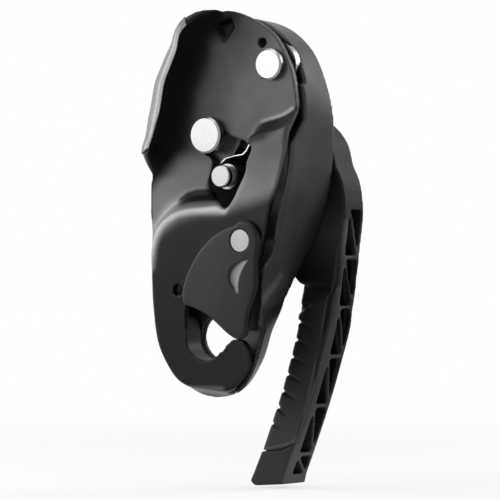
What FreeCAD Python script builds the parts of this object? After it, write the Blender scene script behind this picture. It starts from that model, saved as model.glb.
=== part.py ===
import FreeCAD, Part
import math
import os

import Sketcher
from FreeCAD import Placement, Rotation, Vector

# A self-braking descender: a deep rear side plate with a friction cam on it, a pressed front side
# plate that swings open round the upper rivet, a sprung gate on its hook, and a ribbed hand lever.
# Millimetres. The origin is the centre of the attachment eye, halfway through its plate. +Z runs up
# the body, the front plate faces -Y, and +X is the side that the lever hangs on.

# Driving dimensions, held in the spreadsheet
SIZES = {
    # Whole body, seen from the front
    "plate_reach": 40.0,
    "plate_rise": 125.0,
    "eye_bore": 8.5,
    # Levels through the body, front to back
    "sheet_thickness": 3.0,
    "raise_height": 7.0,
    "channel_depth": 13.5,
    "floor_thickness": 3.5,
    "joggle": 13.0,
    "eye_thickness": 3.0,
    "shell_wall": 2.4,
    "rim_setback": 2.0,
    "plate_gap": 0.6,
    "slip": 0.05,
    "play": 0.3,
    "overrun": 8.0,
    # Front plate
    "hook_slot": 8.9,
    "hook_rim_wall": 2.1,
    "lip_rise": 8.0,
    "lip_band": 8.0,
    "strip_thickness": 0.8,
    "keeper_hole": 1.8,
    "drain_hole": 2.35,
    # Studs and rivets
    "cam_stud_face": 6.35,
    "cam_stud_rim": 7.05,
    "cam_stud_height": 3.3,
    "stud_chamfer": 0.7,
    "cam_stud_neck": 5.3,
    "cam_shaft": 4.0,
    "handle_stud_rim": 4.25,
    "handle_stud_height": 2.4,
    "handle_shaft": 3.0,
    "collar_radius": 4.4,
    "collar_ring_radius": 4.85,
    "collar_ring_height": 0.7,
    "pivot_head": 6.0,
    "pivot_head_height": 3.0,
    "pivot_shaft": 3.0,
    "pivot_flange": 8.6,
    "pivot_flange_height": 3.6,
    "pivot_barrel": 4.6,
    "washer_thickness": 0.6,
    "gate_head": 4.15,
    "gate_shaft": 2.5,
    "gate_head_height": 1.6,
    "stop_pin": 1.6,
    # Gate
    "gate_length": 38.0,
    "gate_thickness": 2.6,
    "gate_bevel": 0.9,
    "scoop_depth": 1.1,
    # Cam and friction plate
    "cam_radius": 20.0,
    "cam_front_gap": 1.3,
    "cam_back_gap": 0.9,
    "bush_wall": 1.2,
    "drive_pin": 2.0,
    "drive_pin_arm": 11.0,
    "friction_gap": 4.5,
    "friction_thickness": 2.5,
    "friction_rivet": 1.5,
    "spring_wire": 0.45,
    # Hand lever
    "lever_length": 120.0,
    "arm_lap": 2.0,
    "hub_wall": 3.5,
    "lever_depth": 16.0,
    "hub_gap": 0.6,
    "drive_plate_radius": 22.5,
    "drive_plate_thickness": 2.5,
    "bushing_radius": 5.0,
    "hub_boss_radius": 8.0,
    "nut_radius": 6.2,
    "nut_height": 3.0,
    "cover_radius": 9.0,
    "cover_height": 1.2,
    "screw_radius": 1.5,
    "screw_head": 2.7,
    "rib_pitch": 19.0,
    "rib_thickness": 1.6,
    "rib_front_wall": 6.0,
    "rib_back_wall": 1.6,
    "rib_cavity": 9.0,
    "pad_thickness": 1.6,
    "notch_pitch": 6.5,
    "notch_width": 1.0,
    "notch_reach": 5.0,
    "return_wire": 0.8,
    "return_coil": 11.5,
    "gate_wire": 0.4,
}

# Joint travel, and how far the cam turns for each degree of the lever
LEVER_TRAVEL_DEGREES = 110.0
CAM_RATIO = 0.2

# Places round an axis, anticlockwise from +X seen from the front
DRIVE_PIN_DEGREES = -10.0
CAM_STOP_DEGREES = 205.0
FRICTION_WALL_DEGREES = (50.0, 122.0)
FRICTION_RIVET_DEGREES = (72.0, 104.0)
DRIVE_SCREW_DEGREES = (125.0, 180.0, 235.0)
DRIVE_SCREW_SHARE = 0.8


class Length:
    """A length in mm together with the spreadsheet expression that gives it."""

    def __init__(self, value, text):
        self.value = value
        self.text = text

    def _joined(self, other, sign, value):
        text = other.text if isinstance(other, Length) else repr(other)
        return Length(value, "(%s %s %s)" % (self.text, sign, text))

    def __add__(self, other):
        return self._joined(other, "+", self.value + float(other))

    def __sub__(self, other):
        return self._joined(other, "-", self.value - float(other))

    def __mul__(self, share):
        return self._joined(share, "*", self.value * float(share))

    def __truediv__(self, share):
        return self._joined(share, "/", self.value / float(share))

    def __neg__(self):
        return Length(-self.value, "(-1 * %s)" % self.text)

    def __float__(self):
        return self.value


class Sizes:
    """The spreadsheet of driving dimensions, each read as a Length."""

    def __init__(self, document, table):
        self.table = table
        sheet = document.addObject("Spreadsheet::Sheet", "Sizes")
        for row, (alias, value) in enumerate(table.items(), start=1):
            sheet.set("A%d" % row, alias)
            sheet.set("B%d" % row, str(value))
            sheet.setAlias("B%d" % row, alias)
        document.recompute()

    def __getattr__(self, alias):
        return Length(self.table[alias], "Sizes.%s" % alias)


doc = FreeCAD.newDocument("descender")
size = Sizes(doc, SIZES)
ZERO = Length(0.0, "0")

# Levels along Y, front to back
eye_back = size.eye_thickness / 2
eye_front = eye_back - size.eye_thickness
floor_back = eye_back + size.joggle
floor_front = floor_back - size.floor_thickness
plate_back = floor_front - size.channel_depth
plate_front = plate_back - size.sheet_thickness
raised_front = plate_front - size.raise_height
raised_back = raised_front + size.sheet_thickness
cam_front = plate_back + size.cam_front_gap
cam_back = floor_front - size.cam_back_gap
hub_front = floor_back + size.hub_gap
lever_front = floor_back - size.arm_lap
lever_back = lever_front + size.lever_depth
hub_cavity_back = lever_back - size.hub_wall
drive_plate_back = hub_front + size.drive_plate_thickness


def place(x_share, z_share):
    """A point of the body, in shares of the front plate's reach and rise."""
    return size.plate_reach * x_share, size.plate_rise * z_share


CAM_AXIS = place(-0.06, 0.62)
HANDLE_AXIS = place(0.12, 0.493)
PIVOT_AXIS = place(0.6625, 0.83)
GATE_AXIS = place(0.4575, 0.296)

# Shapes drawn with curves


def point(x, y, z):
    """A vector from lengths or numbers."""
    return Vector(float(x), float(y), float(z))


def at_y(pairs, y):
    """Points in the X Z plane at one level of Y."""
    return [point(x, y, z) for x, z in pairs]


def body_points(shares):
    """Points given in shares of the plate's reach and rise."""
    return [place(x_share, z_share) for x_share, z_share in shares]


def polygon_wire(points):
    return Part.makePolygon(points + points[:1])


def curved_wire(stretches):
    """A closed wire: each stretch is a line, or a smooth curve through its points."""
    edges = []
    for stretch in stretches:
        if len(stretch) == 2:
            edges.append(Part.LineSegment(*stretch).toShape())
        else:
            curve = Part.BSplineCurve()
            curve.interpolate(stretch)
            edges.append(curve.toShape())
    return Part.Wire(edges)


def all_rows(table):
    """The rows of a table that is cut into stretches, in one list."""
    return [row for stretch in table for row in stretch]


def stretches_like(table, points):
    """Cuts a closed list of points into the stretches of the table that it came from."""
    closed = points + points[:1]
    stretches = []
    start = 0
    for stretch in table:
        end = start + len(stretch)
        stretches.append(closed[start:end + 1])
        start = end
    return stretches


def curved_table(table, level):
    """The closed wire of a table of body shares, at one level of Y."""
    return curved_wire(stretches_like(table, at_y(body_points(all_rows(table)), level)))


def prism(wire, depth):
    """The solid of a closed wire pushed along Y."""
    return Part.Face(wire).extrude(point(0, depth, 0))


def rod(axis, radius, start, end):
    """A cylinder along Y between two levels."""
    height = float(end) - float(start)
    return Part.makeCylinder(float(radius), height, point(axis[0], start, axis[1]), Vector(0, 1, 0))


def block(x_range, y_range, z_range):
    low = [float(span[0]) for span in (x_range, y_range, z_range)]
    high = [float(span[1]) for span in (x_range, y_range, z_range)]
    sides = [top - bottom for bottom, top in zip(low, high)]
    return Part.makeBox(*sides, Vector(*low))


def side_profile(pairs):
    """A solid from a closed outline in the Y Z plane, as wide as the whole body and more."""
    half = float(size.plate_reach * 2)
    wire = polygon_wire([point(-half, y, z) for y, z in pairs])
    return Part.Face(wire).extrude(Vector(2 * half, 0, 0))


def loft(wires, ruled=True):
    return Part.makeLoft(wires, True, ruled)


def inset(points, distance):
    """A polygon drawn in by a distance along the normal of each corner, in the X Z plane."""
    count = len(points)
    turn = sum(points[i].x * points[(i + 1) % count].z - points[(i + 1) % count].x * points[i].z
               for i in range(count))
    side = 1.0 if turn > 0 else -1.0
    moved = []
    for i, here in enumerate(points):
        before = (here - points[i - 1]).normalize()
        after = (points[(i + 1) % count] - here).normalize()
        normal = Vector(-before.z - after.z, 0, before.x + after.x).normalize() * side
        lean = max(0.5, abs(normal.x * before.z - normal.z * before.x))
        moved.append(here + normal * (float(distance) / lean))
    return moved


def polar(axis, radius, degrees):
    angle = math.radians(degrees)
    return (axis[0] + radius * math.cos(angle), axis[1] + radius * math.sin(angle))


def turned_about(axis, pair, degrees):
    """A point of the X Z plane turned about an axis, anticlockwise seen from the front."""
    angle = math.radians(degrees)
    x = float(pair[0]) - float(axis[0])
    z = float(pair[1]) - float(axis[1])
    return (float(axis[0]) + x * math.cos(angle) - z * math.sin(angle),
            float(axis[1]) + x * math.sin(angle) + z * math.cos(angle))


def bent_wire(points, radius, bend):
    """A round wire along straight runs joined by tangent arcs."""
    edges = []
    last = points[0]
    for before, corner, after in zip(points, points[1:], points[2:]):
        arriving = (corner - before).normalize()
        leaving = (after - corner).normalize()
        half_turn = arriving.getAngle(leaving) / 2
        shorter = min((corner - before).Length, (after - corner).Length)
        cut = min(float(bend) * math.tan(half_turn), 0.45 * shorter)
        start = corner - arriving * cut
        end = corner + leaving * cut
        arc_radius = cut / math.tan(half_turn)
        inward = (leaving - arriving).normalize()
        middle = corner + inward * (arc_radius / math.cos(half_turn) - arc_radius)
        edges.append(Part.LineSegment(last, start).toShape())
        edges.append(Part.Arc(start, middle, end).toShape())
        last = end
    edges.append(Part.LineSegment(last, points[-1]).toShape())
    path = Part.Wire(edges)
    first = (points[1] - points[0]).normalize()
    section = Part.Wire([Part.Circle(points[0], first, float(radius)).toShape()])
    return path.makePipeShell([section], True, False)


def coil(axis, start, mean_radius, wire, turns):
    """A close torsion coil about an axis along Y, its path a chain of quarter-turn arcs."""
    pitch = float(wire) * 2.6
    quarters = int(turns * 4)

    def spot(quarter):
        angle = math.pi / 2 * quarter
        return point(float(axis[0]) + float(mean_radius) * math.cos(angle),
                     float(start) + pitch * quarter / 4,
                     float(axis[1]) + float(mean_radius) * math.sin(angle))

    arcs = [Part.Arc(spot(k), spot(k + 0.5), spot(k + 1)).toShape() for k in range(quarters)]
    section = Part.Wire([Part.Circle(spot(0), Vector(0, 0, 1), float(wire)).toShape()])
    return Part.Wire(arcs).makePipeShell([section], True, False)


# Document objects

finished = []


def keep(obj, label):
    obj.Label = label
    finished.append(obj)
    return obj


def formed(label, shape):
    """A piece whose shape is worked out here from the sheet's values."""
    obj = doc.addObject("Part::Feature", label)
    obj.Shape = shape
    return keep(obj, label)


def bind(obj, properties):
    for name, length in properties.items():
        obj.setExpression(name, length.text)


def new_sketch(body, role):
    sketch = body.newObject("Sketcher::SketchObject", body.Name + "_outline")
    plane = [feature for feature in body.Origin.OriginFeatures if feature.Role == role][0]
    sketch.AttachmentSupport = [(plane, "")]
    sketch.MapMode = "FlatFace"
    return sketch


def bound_polygon(sketch, points):
    """Draws a closed polygon whose corners are held by dimensions bound to the sheet."""
    count = len(points)
    first = sketch.GeometryCount
    for index, start in enumerate(points):
        end = points[(index + 1) % count]
        line = Part.LineSegment(point(start[0], start[1], 0), point(end[0], end[1], 0))
        sketch.addGeometry(line)
    for index in range(count):
        following = first + (index + 1) % count
        sketch.addConstraint(Sketcher.Constraint("Coincident", first + index, 2, following, 1))
    for index, corner in enumerate(points):
        for kind, length in zip(("DistanceX", "DistanceY"), corner):
            held = Sketcher.Constraint(kind, -1, 1, first + index, 1, length.value)
            number = sketch.addConstraint(held)
            sketch.setExpression("Constraints[%d]" % number, length.text)


def bound_circle(sketch, centre, radius):
    """Draws a circle whose centre and radius are bound to the sheet."""
    number = sketch.addGeometry(Part.Circle(point(centre[0], centre[1], 0), Vector(0, 0, 1), radius.value))
    held = [Sketcher.Constraint("DistanceX", -1, 1, number, 3, centre[0].value),
            Sketcher.Constraint("DistanceY", -1, 1, number, 3, centre[1].value),
            Sketcher.Constraint("Radius", number, radius.value)]
    for constraint, length in zip(held, (centre[0], centre[1], radius)):
        spot = sketch.addConstraint(constraint)
        sketch.setExpression("Constraints[%d]" % spot, length.text)


def turned(label, axis, profile):
    """A turned piece: a closed profile of radius and level, revolved about an axis along Y."""
    body = doc.addObject("PartDesign::Body", label)
    sketch = new_sketch(body, "XY_Plane")
    bound_polygon(sketch, profile)
    turning = body.newObject("PartDesign::Revolution", label + "_turning")
    turning.Profile = sketch
    turning.ReferenceAxis = (sketch, ["V_Axis"])
    turning.Angle = 360.0
    bind(body, {"Placement.Base.x": axis[0], "Placement.Base.z": axis[1]})
    return keep(body, label)


def shaft_profile(*steps):
    """The half section of a solid shaft from steps of (radius, start level, end level)."""
    points = [(ZERO, steps[0][1])]
    for radius, start, end in steps:
        points += [(radius, start), (radius, end)]
    return points + [(ZERO, steps[-1][2])]


def ring_profile(inner, outer, start, end):
    return [(inner, start), (outer, start), (outer, end), (inner, end)]


def padded(label, axis, start, depth, outline=None, disc=None, holes=()):
    """A flat piece: an outline or disc in the X Z plane about an axis, padded back along Y."""
    body = doc.addObject("PartDesign::Body", label)
    sketch = new_sketch(body, "XZ_Plane")
    if outline:
        bound_polygon(sketch, outline)
    if disc:
        bound_circle(sketch, (ZERO, ZERO), disc)
    for centre, radius in holes:
        bound_circle(sketch, centre, radius)
    pad = body.newObject("PartDesign::Pad", label + "_pad")
    pad.Profile = sketch
    pad.Reversed = True
    pad.setExpression("Length", depth.text)
    bind(body, {"Placement.Base.x": axis[0], "Placement.Base.y": start, "Placement.Base.z": axis[1]})
    return keep(body, label)


def group_of_rods(label, centres, steps):
    """Several like pins in one piece list entry, each a stack of cylinders fused along Y."""
    solids = []
    for number, centre in enumerate(centres):
        parts = []
        for step, (radius, start, end) in enumerate(steps):
            cylinder = doc.addObject("Part::Cylinder", "%s_%d_%d" % (label, number, step))
            cylinder.Placement = Placement(Vector(0, 0, 0), Rotation(Vector(1, 0, 0), -90))
            bind(cylinder, {"Radius": radius, "Height": end - start, "Placement.Base.x": centre[0],
                            "Placement.Base.y": start, "Placement.Base.z": centre[1]})
            parts.append(cylinder)
        if len(parts) > 1:
            joined = doc.addObject("Part::MultiFuse", "%s_%d" % (label, number))
            joined.Shapes = parts
            parts = [joined]
        solids += parts
    group = doc.addObject("Part::Compound", label)
    group.Links = solids
    return keep(group, label)


# Rear side plate: a deep shell, open to the front and to the rope side on the left.
# Each row is a place on its edge: X at the front, at the eye's level and at the back, then Z,
# in shares of the plate's reach and rise.
SHELL_EDGE_SHARES = [
    [(0.10, 0.10, 0.10, 0.972), (0.54, 0.50, 0.41, 0.960), (0.68, 0.66, 0.62, 0.928),
     (0.845, 0.83, 0.805, 0.872), (0.93, 0.93, 0.93, 0.800), (0.955, 0.98, 1.02, 0.728),
     (0.955, 0.99, 1.075, 0.652), (0.945, 0.98, 1.075, 0.576), (0.93, 0.955, 1.065, 0.504),
     (0.895, 0.92, 1.04, 0.448), (0.84, 0.87, 0.98, 0.390), (0.80, 0.83, 0.90, 0.332),
     (0.77, 0.79, 0.84, 0.277), (0.74, 0.755, 0.775, 0.224), (0.705, 0.735, 0.74, 0.183),
     (0.69, 0.665, 0.64, 0.088), (0.655, 0.555, 0.50, 0.022), (0.60, 0.48, 0.42, -0.046),
     (0.54, 0.385, 0.32, -0.100), (0.46, 0.26, 0.20, -0.148)],
    [(0.10, 0.05, 0.05, -0.170)],
    [(-0.34, -0.34, -0.34, -0.120), (-0.52, -0.52, -0.52, -0.020), (-0.60, -0.60, -0.60, 0.120),
     (-0.64, -0.64, -0.64, 0.260), (-0.66, -0.66, -0.66, 0.440), (-0.60, -0.60, -0.60, 0.600),
     (-0.50, -0.50, -0.50, 0.730), (-0.36, -0.36, -0.36, 0.850)],
    [(-0.16, -0.16, -0.16, 0.940)],
]
HOOK_FLANGE_SHARE = 0.30
SHELL_FLOOR_SHARE = 0.30
SHELL_EYE_SHARE = 0.115
SHELL_TOP_EDGE_SHARE = 0.77
SHELL_UPPER_EDGE_SHARES = (0.66, 0.585)
SHELL_LOWER_EDGE_SHARES = (0.27, 0.22)
SHELL_HOOK_EDGE_SHARES = (0.042, 0.020)


def shell_wires(wall):
    """The shell's three sections, drawn in by a wall, with the rope side left wide open."""
    levels = (raised_front, eye_back, floor_back + size.overrun)
    wires = []
    left_first = len(SHELL_EDGE_SHARES[0]) + len(SHELL_EDGE_SHARES[1])
    for column, level in enumerate(levels):
        row = [place(shares[column], shares[3]) for shares in all_rows(SHELL_EDGE_SHARES)]
        points = at_y(row, level)
        if wall is not None:
            points = inset(points, wall)
            for number in range(left_first, len(points)):
                points[number] = points[number] - point(size.plate_reach, 0, 0)
        wires.append(curved_wire(stretches_like(SHELL_EDGE_SHARES, points)))
    return wires


def shell_profile(back, eye, front_top, front_upper, front_middle, front_lower):
    """A Y Z outline that follows the joggled floor and the stepped front edge."""
    rise = size.plate_rise
    beyond = size.overrun
    return [
        (back, rise + beyond),
        (back, rise * SHELL_FLOOR_SHARE),
        (eye, rise * SHELL_EYE_SHARE),
        (eye, -(rise * SHELL_FLOOR_SHARE)),
        (front_middle, -(rise * SHELL_FLOOR_SHARE)),
        (front_middle, rise * SHELL_HOOK_EDGE_SHARES[1]),
        (front_lower, rise * SHELL_HOOK_EDGE_SHARES[0]),
        (front_lower, rise * SHELL_LOWER_EDGE_SHARES[1]),
        (front_middle, rise * SHELL_LOWER_EDGE_SHARES[0]),
        (front_middle, rise * SHELL_UPPER_EDGE_SHARES[1]),
        (front_upper, rise * SHELL_UPPER_EDGE_SHARES[0]),
        (front_upper, rise * SHELL_TOP_EDGE_SHARE),
        (front_top, rise * SHELL_TOP_EDGE_SHARE),
        (front_top, rise + beyond),
    ]


def fixed_side_plate():
    upper_edge = plate_back + size.plate_gap
    middle_edge = raised_back + size.plate_gap
    lower_edge = raised_front + size.slip
    outer = loft(shell_wires(None))
    edges = (upper_edge + size.rim_setback, upper_edge, middle_edge, lower_edge)
    outer = outer.common(side_profile(shell_profile(floor_back, eye_back, *edges)))
    open_front = raised_front - size.overrun
    inner = loft(shell_wires(size.shell_wall))
    inner = inner.common(side_profile(shell_profile(floor_front, eye_front, *[open_front] * len(edges))))
    shell = outer.cut(inner)
    through = (floor_front - size.overrun, floor_back + size.overrun)
    slot = size.drive_pin + size.play
    pin_end = DRIVE_PIN_DEGREES + LEVER_TRAVEL_DEGREES * CAM_RATIO
    cutters = [
        rod((ZERO, ZERO), size.eye_bore, raised_front, floor_back),
        rod(CAM_AXIS, size.cam_shaft + size.slip, *through),
        rod(HANDLE_AXIS, size.handle_shaft + size.slip, *through),
        rod(PIVOT_AXIS, size.pivot_shaft + size.slip, *through),
        rod(PIVOT_AXIS, size.pivot_flange + size.play, raised_front,
            plate_back + size.pivot_flange_height + size.play),
        arc_slot(CAM_AXIS, size.drive_pin_arm, slot, DRIVE_PIN_DEGREES, pin_end, *through),
    ]
    for centre in friction_rivet_places():
        cutters.append(rod(centre, size.friction_rivet + size.slip, *through))
    cutters.append(rod(cam_stop_place(), size.stop_pin + size.slip, *through))
    clear_of_hook = size.plate_reach * HOOK_FLANGE_SHARE
    in_front_of_eye = (raised_front - size.overrun, eye_front - size.slip)
    cutters.append(block((-size.plate_reach, clear_of_hook), in_front_of_eye, (-size.plate_reach, ZERO)))
    return formed("fixed_side_plate", shell.cut(cutters))


def arc_slot(axis, radius, half_width, start, end, front, back):
    """A round-ended slot that follows an arc about an axis."""
    middle = (start + end) / 2
    wide = radius + half_width
    narrow = radius - half_width

    def spot(reach, angle, beyond=0.0):
        around = polar(axis, reach, angle)
        along = math.radians(angle + 90.0)
        return point(float(around[0]) + beyond * math.cos(along), front,
                     float(around[1]) + beyond * math.sin(along))

    cap = float(half_width)
    edges = [
        Part.Arc(spot(wide, start), spot(wide, middle), spot(wide, end)).toShape(),
        Part.Arc(spot(wide, end), spot(radius, end, cap), spot(narrow, end)).toShape(),
        Part.Arc(spot(narrow, end), spot(narrow, middle), spot(narrow, start)).toShape(),
        Part.Arc(spot(narrow, start), spot(radius, start, -cap), spot(wide, start)).toShape(),
    ]
    return prism(Part.Wire(edges), float(back) - float(front))


def friction_rivet_places():
    reach = size.cam_radius + size.friction_gap + size.friction_thickness * 2.2
    return [polar(CAM_AXIS, reach, degrees) for degrees in FRICTION_RIVET_DEGREES]


def cam_stop_place():
    return polar(CAM_AXIS, size.cam_radius + size.stop_pin + size.plate_gap, CAM_STOP_DEGREES)


# Front side plate.
# Its outer edge, clockwise from the top, in shares of the plate's reach and rise.
PLATE_EDGE_SHARES = [
    [(0.02, 0.994), (0.10, 1.000), (0.22, 0.996), (0.41, 0.974), (0.56, 0.949), (0.6725, 0.922),
     (0.7475, 0.894), (0.815, 0.861), (0.8675, 0.826), (0.9125, 0.776), (0.94, 0.714)],
    [(0.945, 0.695), (0.95, 0.625), (0.925, 0.580), (0.885, 0.526), (0.825, 0.466), (0.77, 0.422),
     (0.7275, 0.375), (0.675, 0.298)],
    [(0.65, 0.274), (0.625, 0.180)],
    [(0.58, 0.070), (0.50, 0.010), (0.50, -0.040), (0.505, -0.082), (0.455, -0.113), (0.34, -0.152)],
    [(0.24, -0.168), (0.03, -0.184), (-0.20, -0.172), (-0.35, -0.146), (-0.51, -0.106),
     (-0.65, -0.038), (-0.715, 0.057), (-0.73, 0.123), (-0.7425, 0.205), (-0.7575, 0.264),
     (-0.775, 0.350), (-0.7725, 0.390), (-0.765, 0.472)],
    [(-0.735, 0.544)],
    [(-0.38, 0.560), (-0.28, 0.620), (-0.20, 0.714), (-0.12, 0.800), (-0.01, 0.885)],
]

# The pressed-out lower part: each row is a corner at the foot of the step and on its crown,
# X and Z each, in shares of the plate's reach and rise.
BOSS_SHARES = [
    [(0.455, 0.622, 0.535, 0.612), (0.56, 0.674, 0.66, 0.621), (0.675, 0.680, 0.80, 0.628),
     (0.78, 0.688, 0.94, 0.640), (0.92, 0.710, 1.05, 0.648)],
    [(1.20, 0.745, 1.20, 0.640)],
    [(1.20, -0.008, 1.20, -0.008)],
    [(0.46, -0.006, 0.44, -0.008), (0.52, -0.040, 0.50, -0.042), (0.53, -0.086, 0.51, -0.086),
     (0.50, -0.124, 0.48, -0.122), (0.38, -0.160, 0.355, -0.154), (0.27, -0.176, 0.255, -0.162),
     (0.00, -0.186, 0.00, -0.156), (-0.24, -0.168, -0.21, -0.148), (-0.37, -0.146, -0.33, -0.128),
     (-0.53, -0.106, -0.44, -0.086), (-0.67, -0.038, -0.545, -0.024),
     (-0.735, 0.057, -0.60, 0.064), (-0.75, 0.123, -0.62, 0.127), (-0.76, 0.205, -0.63, 0.208),
     (-0.775, 0.270, -0.635, 0.275), (-0.785, 0.325, -0.59, 0.321), (-0.71, 0.361, -0.52, 0.351),
     (-0.61, 0.402, -0.415, 0.374), (-0.49, 0.434, -0.31, 0.388), (-0.38, 0.450, -0.20, 0.393),
     (-0.05, 0.456, -0.05, 0.396), (0.06, 0.478, 0.12, 0.402), (0.22, 0.545, 0.30, 0.480)],
]

# The opening that the two studs pass through
CUTOUT_SHARES = [
    [(0.0485, 0.6514), (0.099, 0.6352), (0.155, 0.6208), (0.215, 0.612), (0.2625, 0.608), (0.3525, 0.598)],
    [(0.5375, 0.590), (0.53, 0.570), (0.4925, 0.538), (0.4575, 0.506), (0.385, 0.466),
     (0.33, 0.434), (0.2775, 0.410)],
    [(0.225, 0.391)],
    [(-0.0725, 0.455), (-0.06, 0.498), (-0.03, 0.533)],
    [(-0.11, 0.5624), (-0.1725, 0.5864), (-0.2075, 0.620), (-0.164, 0.6534), (-0.06, 0.6672)],
]

# The hook's mouth, under the gate
MOUTH_SHARES = [
    (-0.2225, 0.000), (-0.23, 0.072), (-0.21, 0.132), (-0.06, 0.182), (0.25, 0.226), (0.675, 0.246),
    (1.30, 0.250), (1.30, -0.010),
    (0.46, -0.010), (0.40, -0.003), (0.3275, -0.004), (0.2525, -0.022), (0.2025, -0.044), (0.00, -0.020),
]

# The curled lip: places along its crest, with the direction into the plate in degrees, the
# share of the full rise and the share of the full band that lies outside the crest
LIP_STATIONS = [
    (-0.735, 0.505, 0.0, 0.05, 0.10),
    (-0.66, 0.565, 0.0, 0.93, 0.75),
    (-0.5675, 0.612, 0.0, 1.0, 0.95),
    (-0.525, 0.660, 0.0, 1.0, 1.0),
    (-0.485, 0.714, -3.0, 1.0, 1.0),
    (-0.4475, 0.776, -8.0, 1.0, 0.97),
    (-0.40, 0.812, -12.0, 1.0, 0.92),
    (-0.335, 0.854, -18.0, 1.0, 0.88),
    (-0.29, 0.888, -20.0, 1.0, 0.80),
    (-0.275, 0.925, -28.0, 0.95, 0.70),
    (-0.215, 0.957, -50.0, 0.75, 0.60),
    (-0.095, 0.981, -70.0, 0.50, 0.40),
    (0.06, 0.998, -85.0, 0.18, 0.12),
]
LIP_RUN_SHARE = 0.325
LIP_INNER_SHARES = [
    (1.0, 0.0), (0.75, 0.035), (0.55, 0.145), (0.38, 0.32), (0.23, 0.54), (0.11, 0.77), (0.03, 0.96),
]
LIP_OUTER_SHARES = [(0.0, 1.0), (0.45, 0.86), (1.0, 0.42)]
STRIP_STATIONS = (2, 10)


def lip_stations(first=0, last=len(LIP_STATIONS) - 1):
    """The lip's stations from one row to another, with one more between each two on a smooth curve."""
    rows = LIP_STATIONS
    made = []
    for number, row in enumerate(rows[:-1]):
        following = rows[number + 1]
        before = rows[max(0, number - 1)]
        beyond = rows[min(len(rows) - 1, number + 2)]
        made.append(row)
        made.append([0.5625 * (here + there) - 0.0625 * (back + ahead)
                     for back, here, there, ahead in zip(before, row, following, beyond)])
    return (made + rows[-1:])[first * 2:last * 2 + 1]


def lip_section(station, sheet, inner_level, band_only=False, lift_share=0.0):
    """The lip's section at one station, as a closed list of points."""
    x_share, z_share, degrees, rise_share, band_share = station
    crest_x, crest_z = place(x_share, z_share)
    inward = Vector(math.cos(math.radians(degrees)), 0, math.sin(math.radians(degrees)))
    crest = point(crest_x, 0, crest_z)
    rise = float(size.lip_rise) * rise_share
    run = float(size.plate_reach * LIP_RUN_SHARE)
    band = float(size.lip_band) * band_share
    thickness = float(sheet)
    level = float(inner_level)

    def spot(along, height):
        return crest + inward * along + Vector(0, level - height, 0)

    inner = [spot(run * u, rise * v) for u, v in LIP_INNER_SHARES]
    outer = [spot(-band * u, rise * v) for u, v in LIP_OUTER_SHARES]
    if band_only:
        lifted = [p + Vector(0, -thickness, 0) - inward * (thickness * lift_share) for p in outer]
        return outer + lifted[::-1]
    under = [spot(-band * u + thickness * 0.35, rise * v - thickness) for u, v in LIP_OUTER_SHARES[::-1]]
    under += [spot(run * u + thickness * 0.55, rise * v - thickness) for u, v in LIP_INNER_SHARES[::-1]]
    under[-1] = spot(run, -thickness)
    return inner + outer + under


def lip_solid():
    wires = [polygon_wire(lip_section(station, size.sheet_thickness, plate_front))
             for station in lip_stations()]
    return loft(wires)


def hook_rim():
    """The wall that lines the hook's slot, from the raised face back to the eye."""
    wall = size.hook_slot + size.hook_rim_wall
    back = eye_front - size.plate_gap
    ring = rod((ZERO, ZERO), wall, raised_back - size.slip, back)
    ring = ring.cut(block((-wall, wall), (raised_front, floor_front), (0, wall)))
    left = block((-wall, -size.hook_slot), (raised_back - size.slip, back), (0, size.hook_slot))
    rim = ring.fuse(left)
    return rim


def boss_wire(points):
    return curved_wire(stretches_like(BOSS_SHARES, points))


def moving_side_plate():
    outline = curved_table(PLATE_EDGE_SHARES, plate_back)
    sheet = prism(outline, -size.sheet_thickness)
    everything = prism(outline, float(raised_front) - float(plate_back))
    rows = all_rows(BOSS_SHARES)
    foot = at_y([place(row[0], row[1]) for row in rows], plate_back)
    crown = at_y([place(row[2], row[3]) for row in rows], raised_front)
    boss = loft([boss_wire(foot), boss_wire(crown)]).common(everything)
    wall = size.sheet_thickness * 0.8
    inner_foot = inset(foot, wall)
    inner_crown = [p + point(0, size.sheet_thickness, 0) for p in inset(crown, wall)]
    below = [p + point(0, size.overrun, 0) for p in inner_foot]
    hollow = loft([boss_wire(below), boss_wire(inner_foot), boss_wire(inner_crown)])
    bare_tip = block((size.hook_slot, size.plate_reach), (raised_back + size.slip, floor_front),
                     (-size.plate_reach, ZERO))
    plate = sheet.fuse(boss).cut([hollow, bare_tip])
    plate = plate.fuse([hook_rim(), lip_solid()])
    deep = float(floor_front) - float(raised_front)
    front = raised_front - size.slip
    mouth = at_y(body_points(MOUTH_SHARES), front)
    cutters = [
        prism(curved_table(CUTOUT_SHARES, front), deep),
        prism(polygon_wire(mouth), deep),
        rod((ZERO, ZERO), size.hook_slot, front, floor_front),
        rod(PIVOT_AXIS, size.pivot_shaft + size.slip, front, floor_front),
        rod(GATE_AXIS, size.gate_shaft + size.slip, front, floor_front),
        rod(place(0.55, 0.897), size.keeper_hole, front, floor_front),
        rod(place(-0.315, 0.145), size.drain_hole, front, floor_front),
        rod(gate_stop_place(), size.stop_pin + size.slip, front, floor_front),
    ]
    return formed("moving_side_plate", plate.cut(cutters).removeSplitter())


def lip_wear_strip():
    first, last = STRIP_STATIONS
    wires = [polygon_wire(lip_section(station, size.strip_thickness, plate_front, True, 0.3))
             for station in lip_stations(first, last)]
    return formed("lip_wear_strip", loft(wires))


def gate_stop_place():
    return place(0.10, 0.262)


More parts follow.
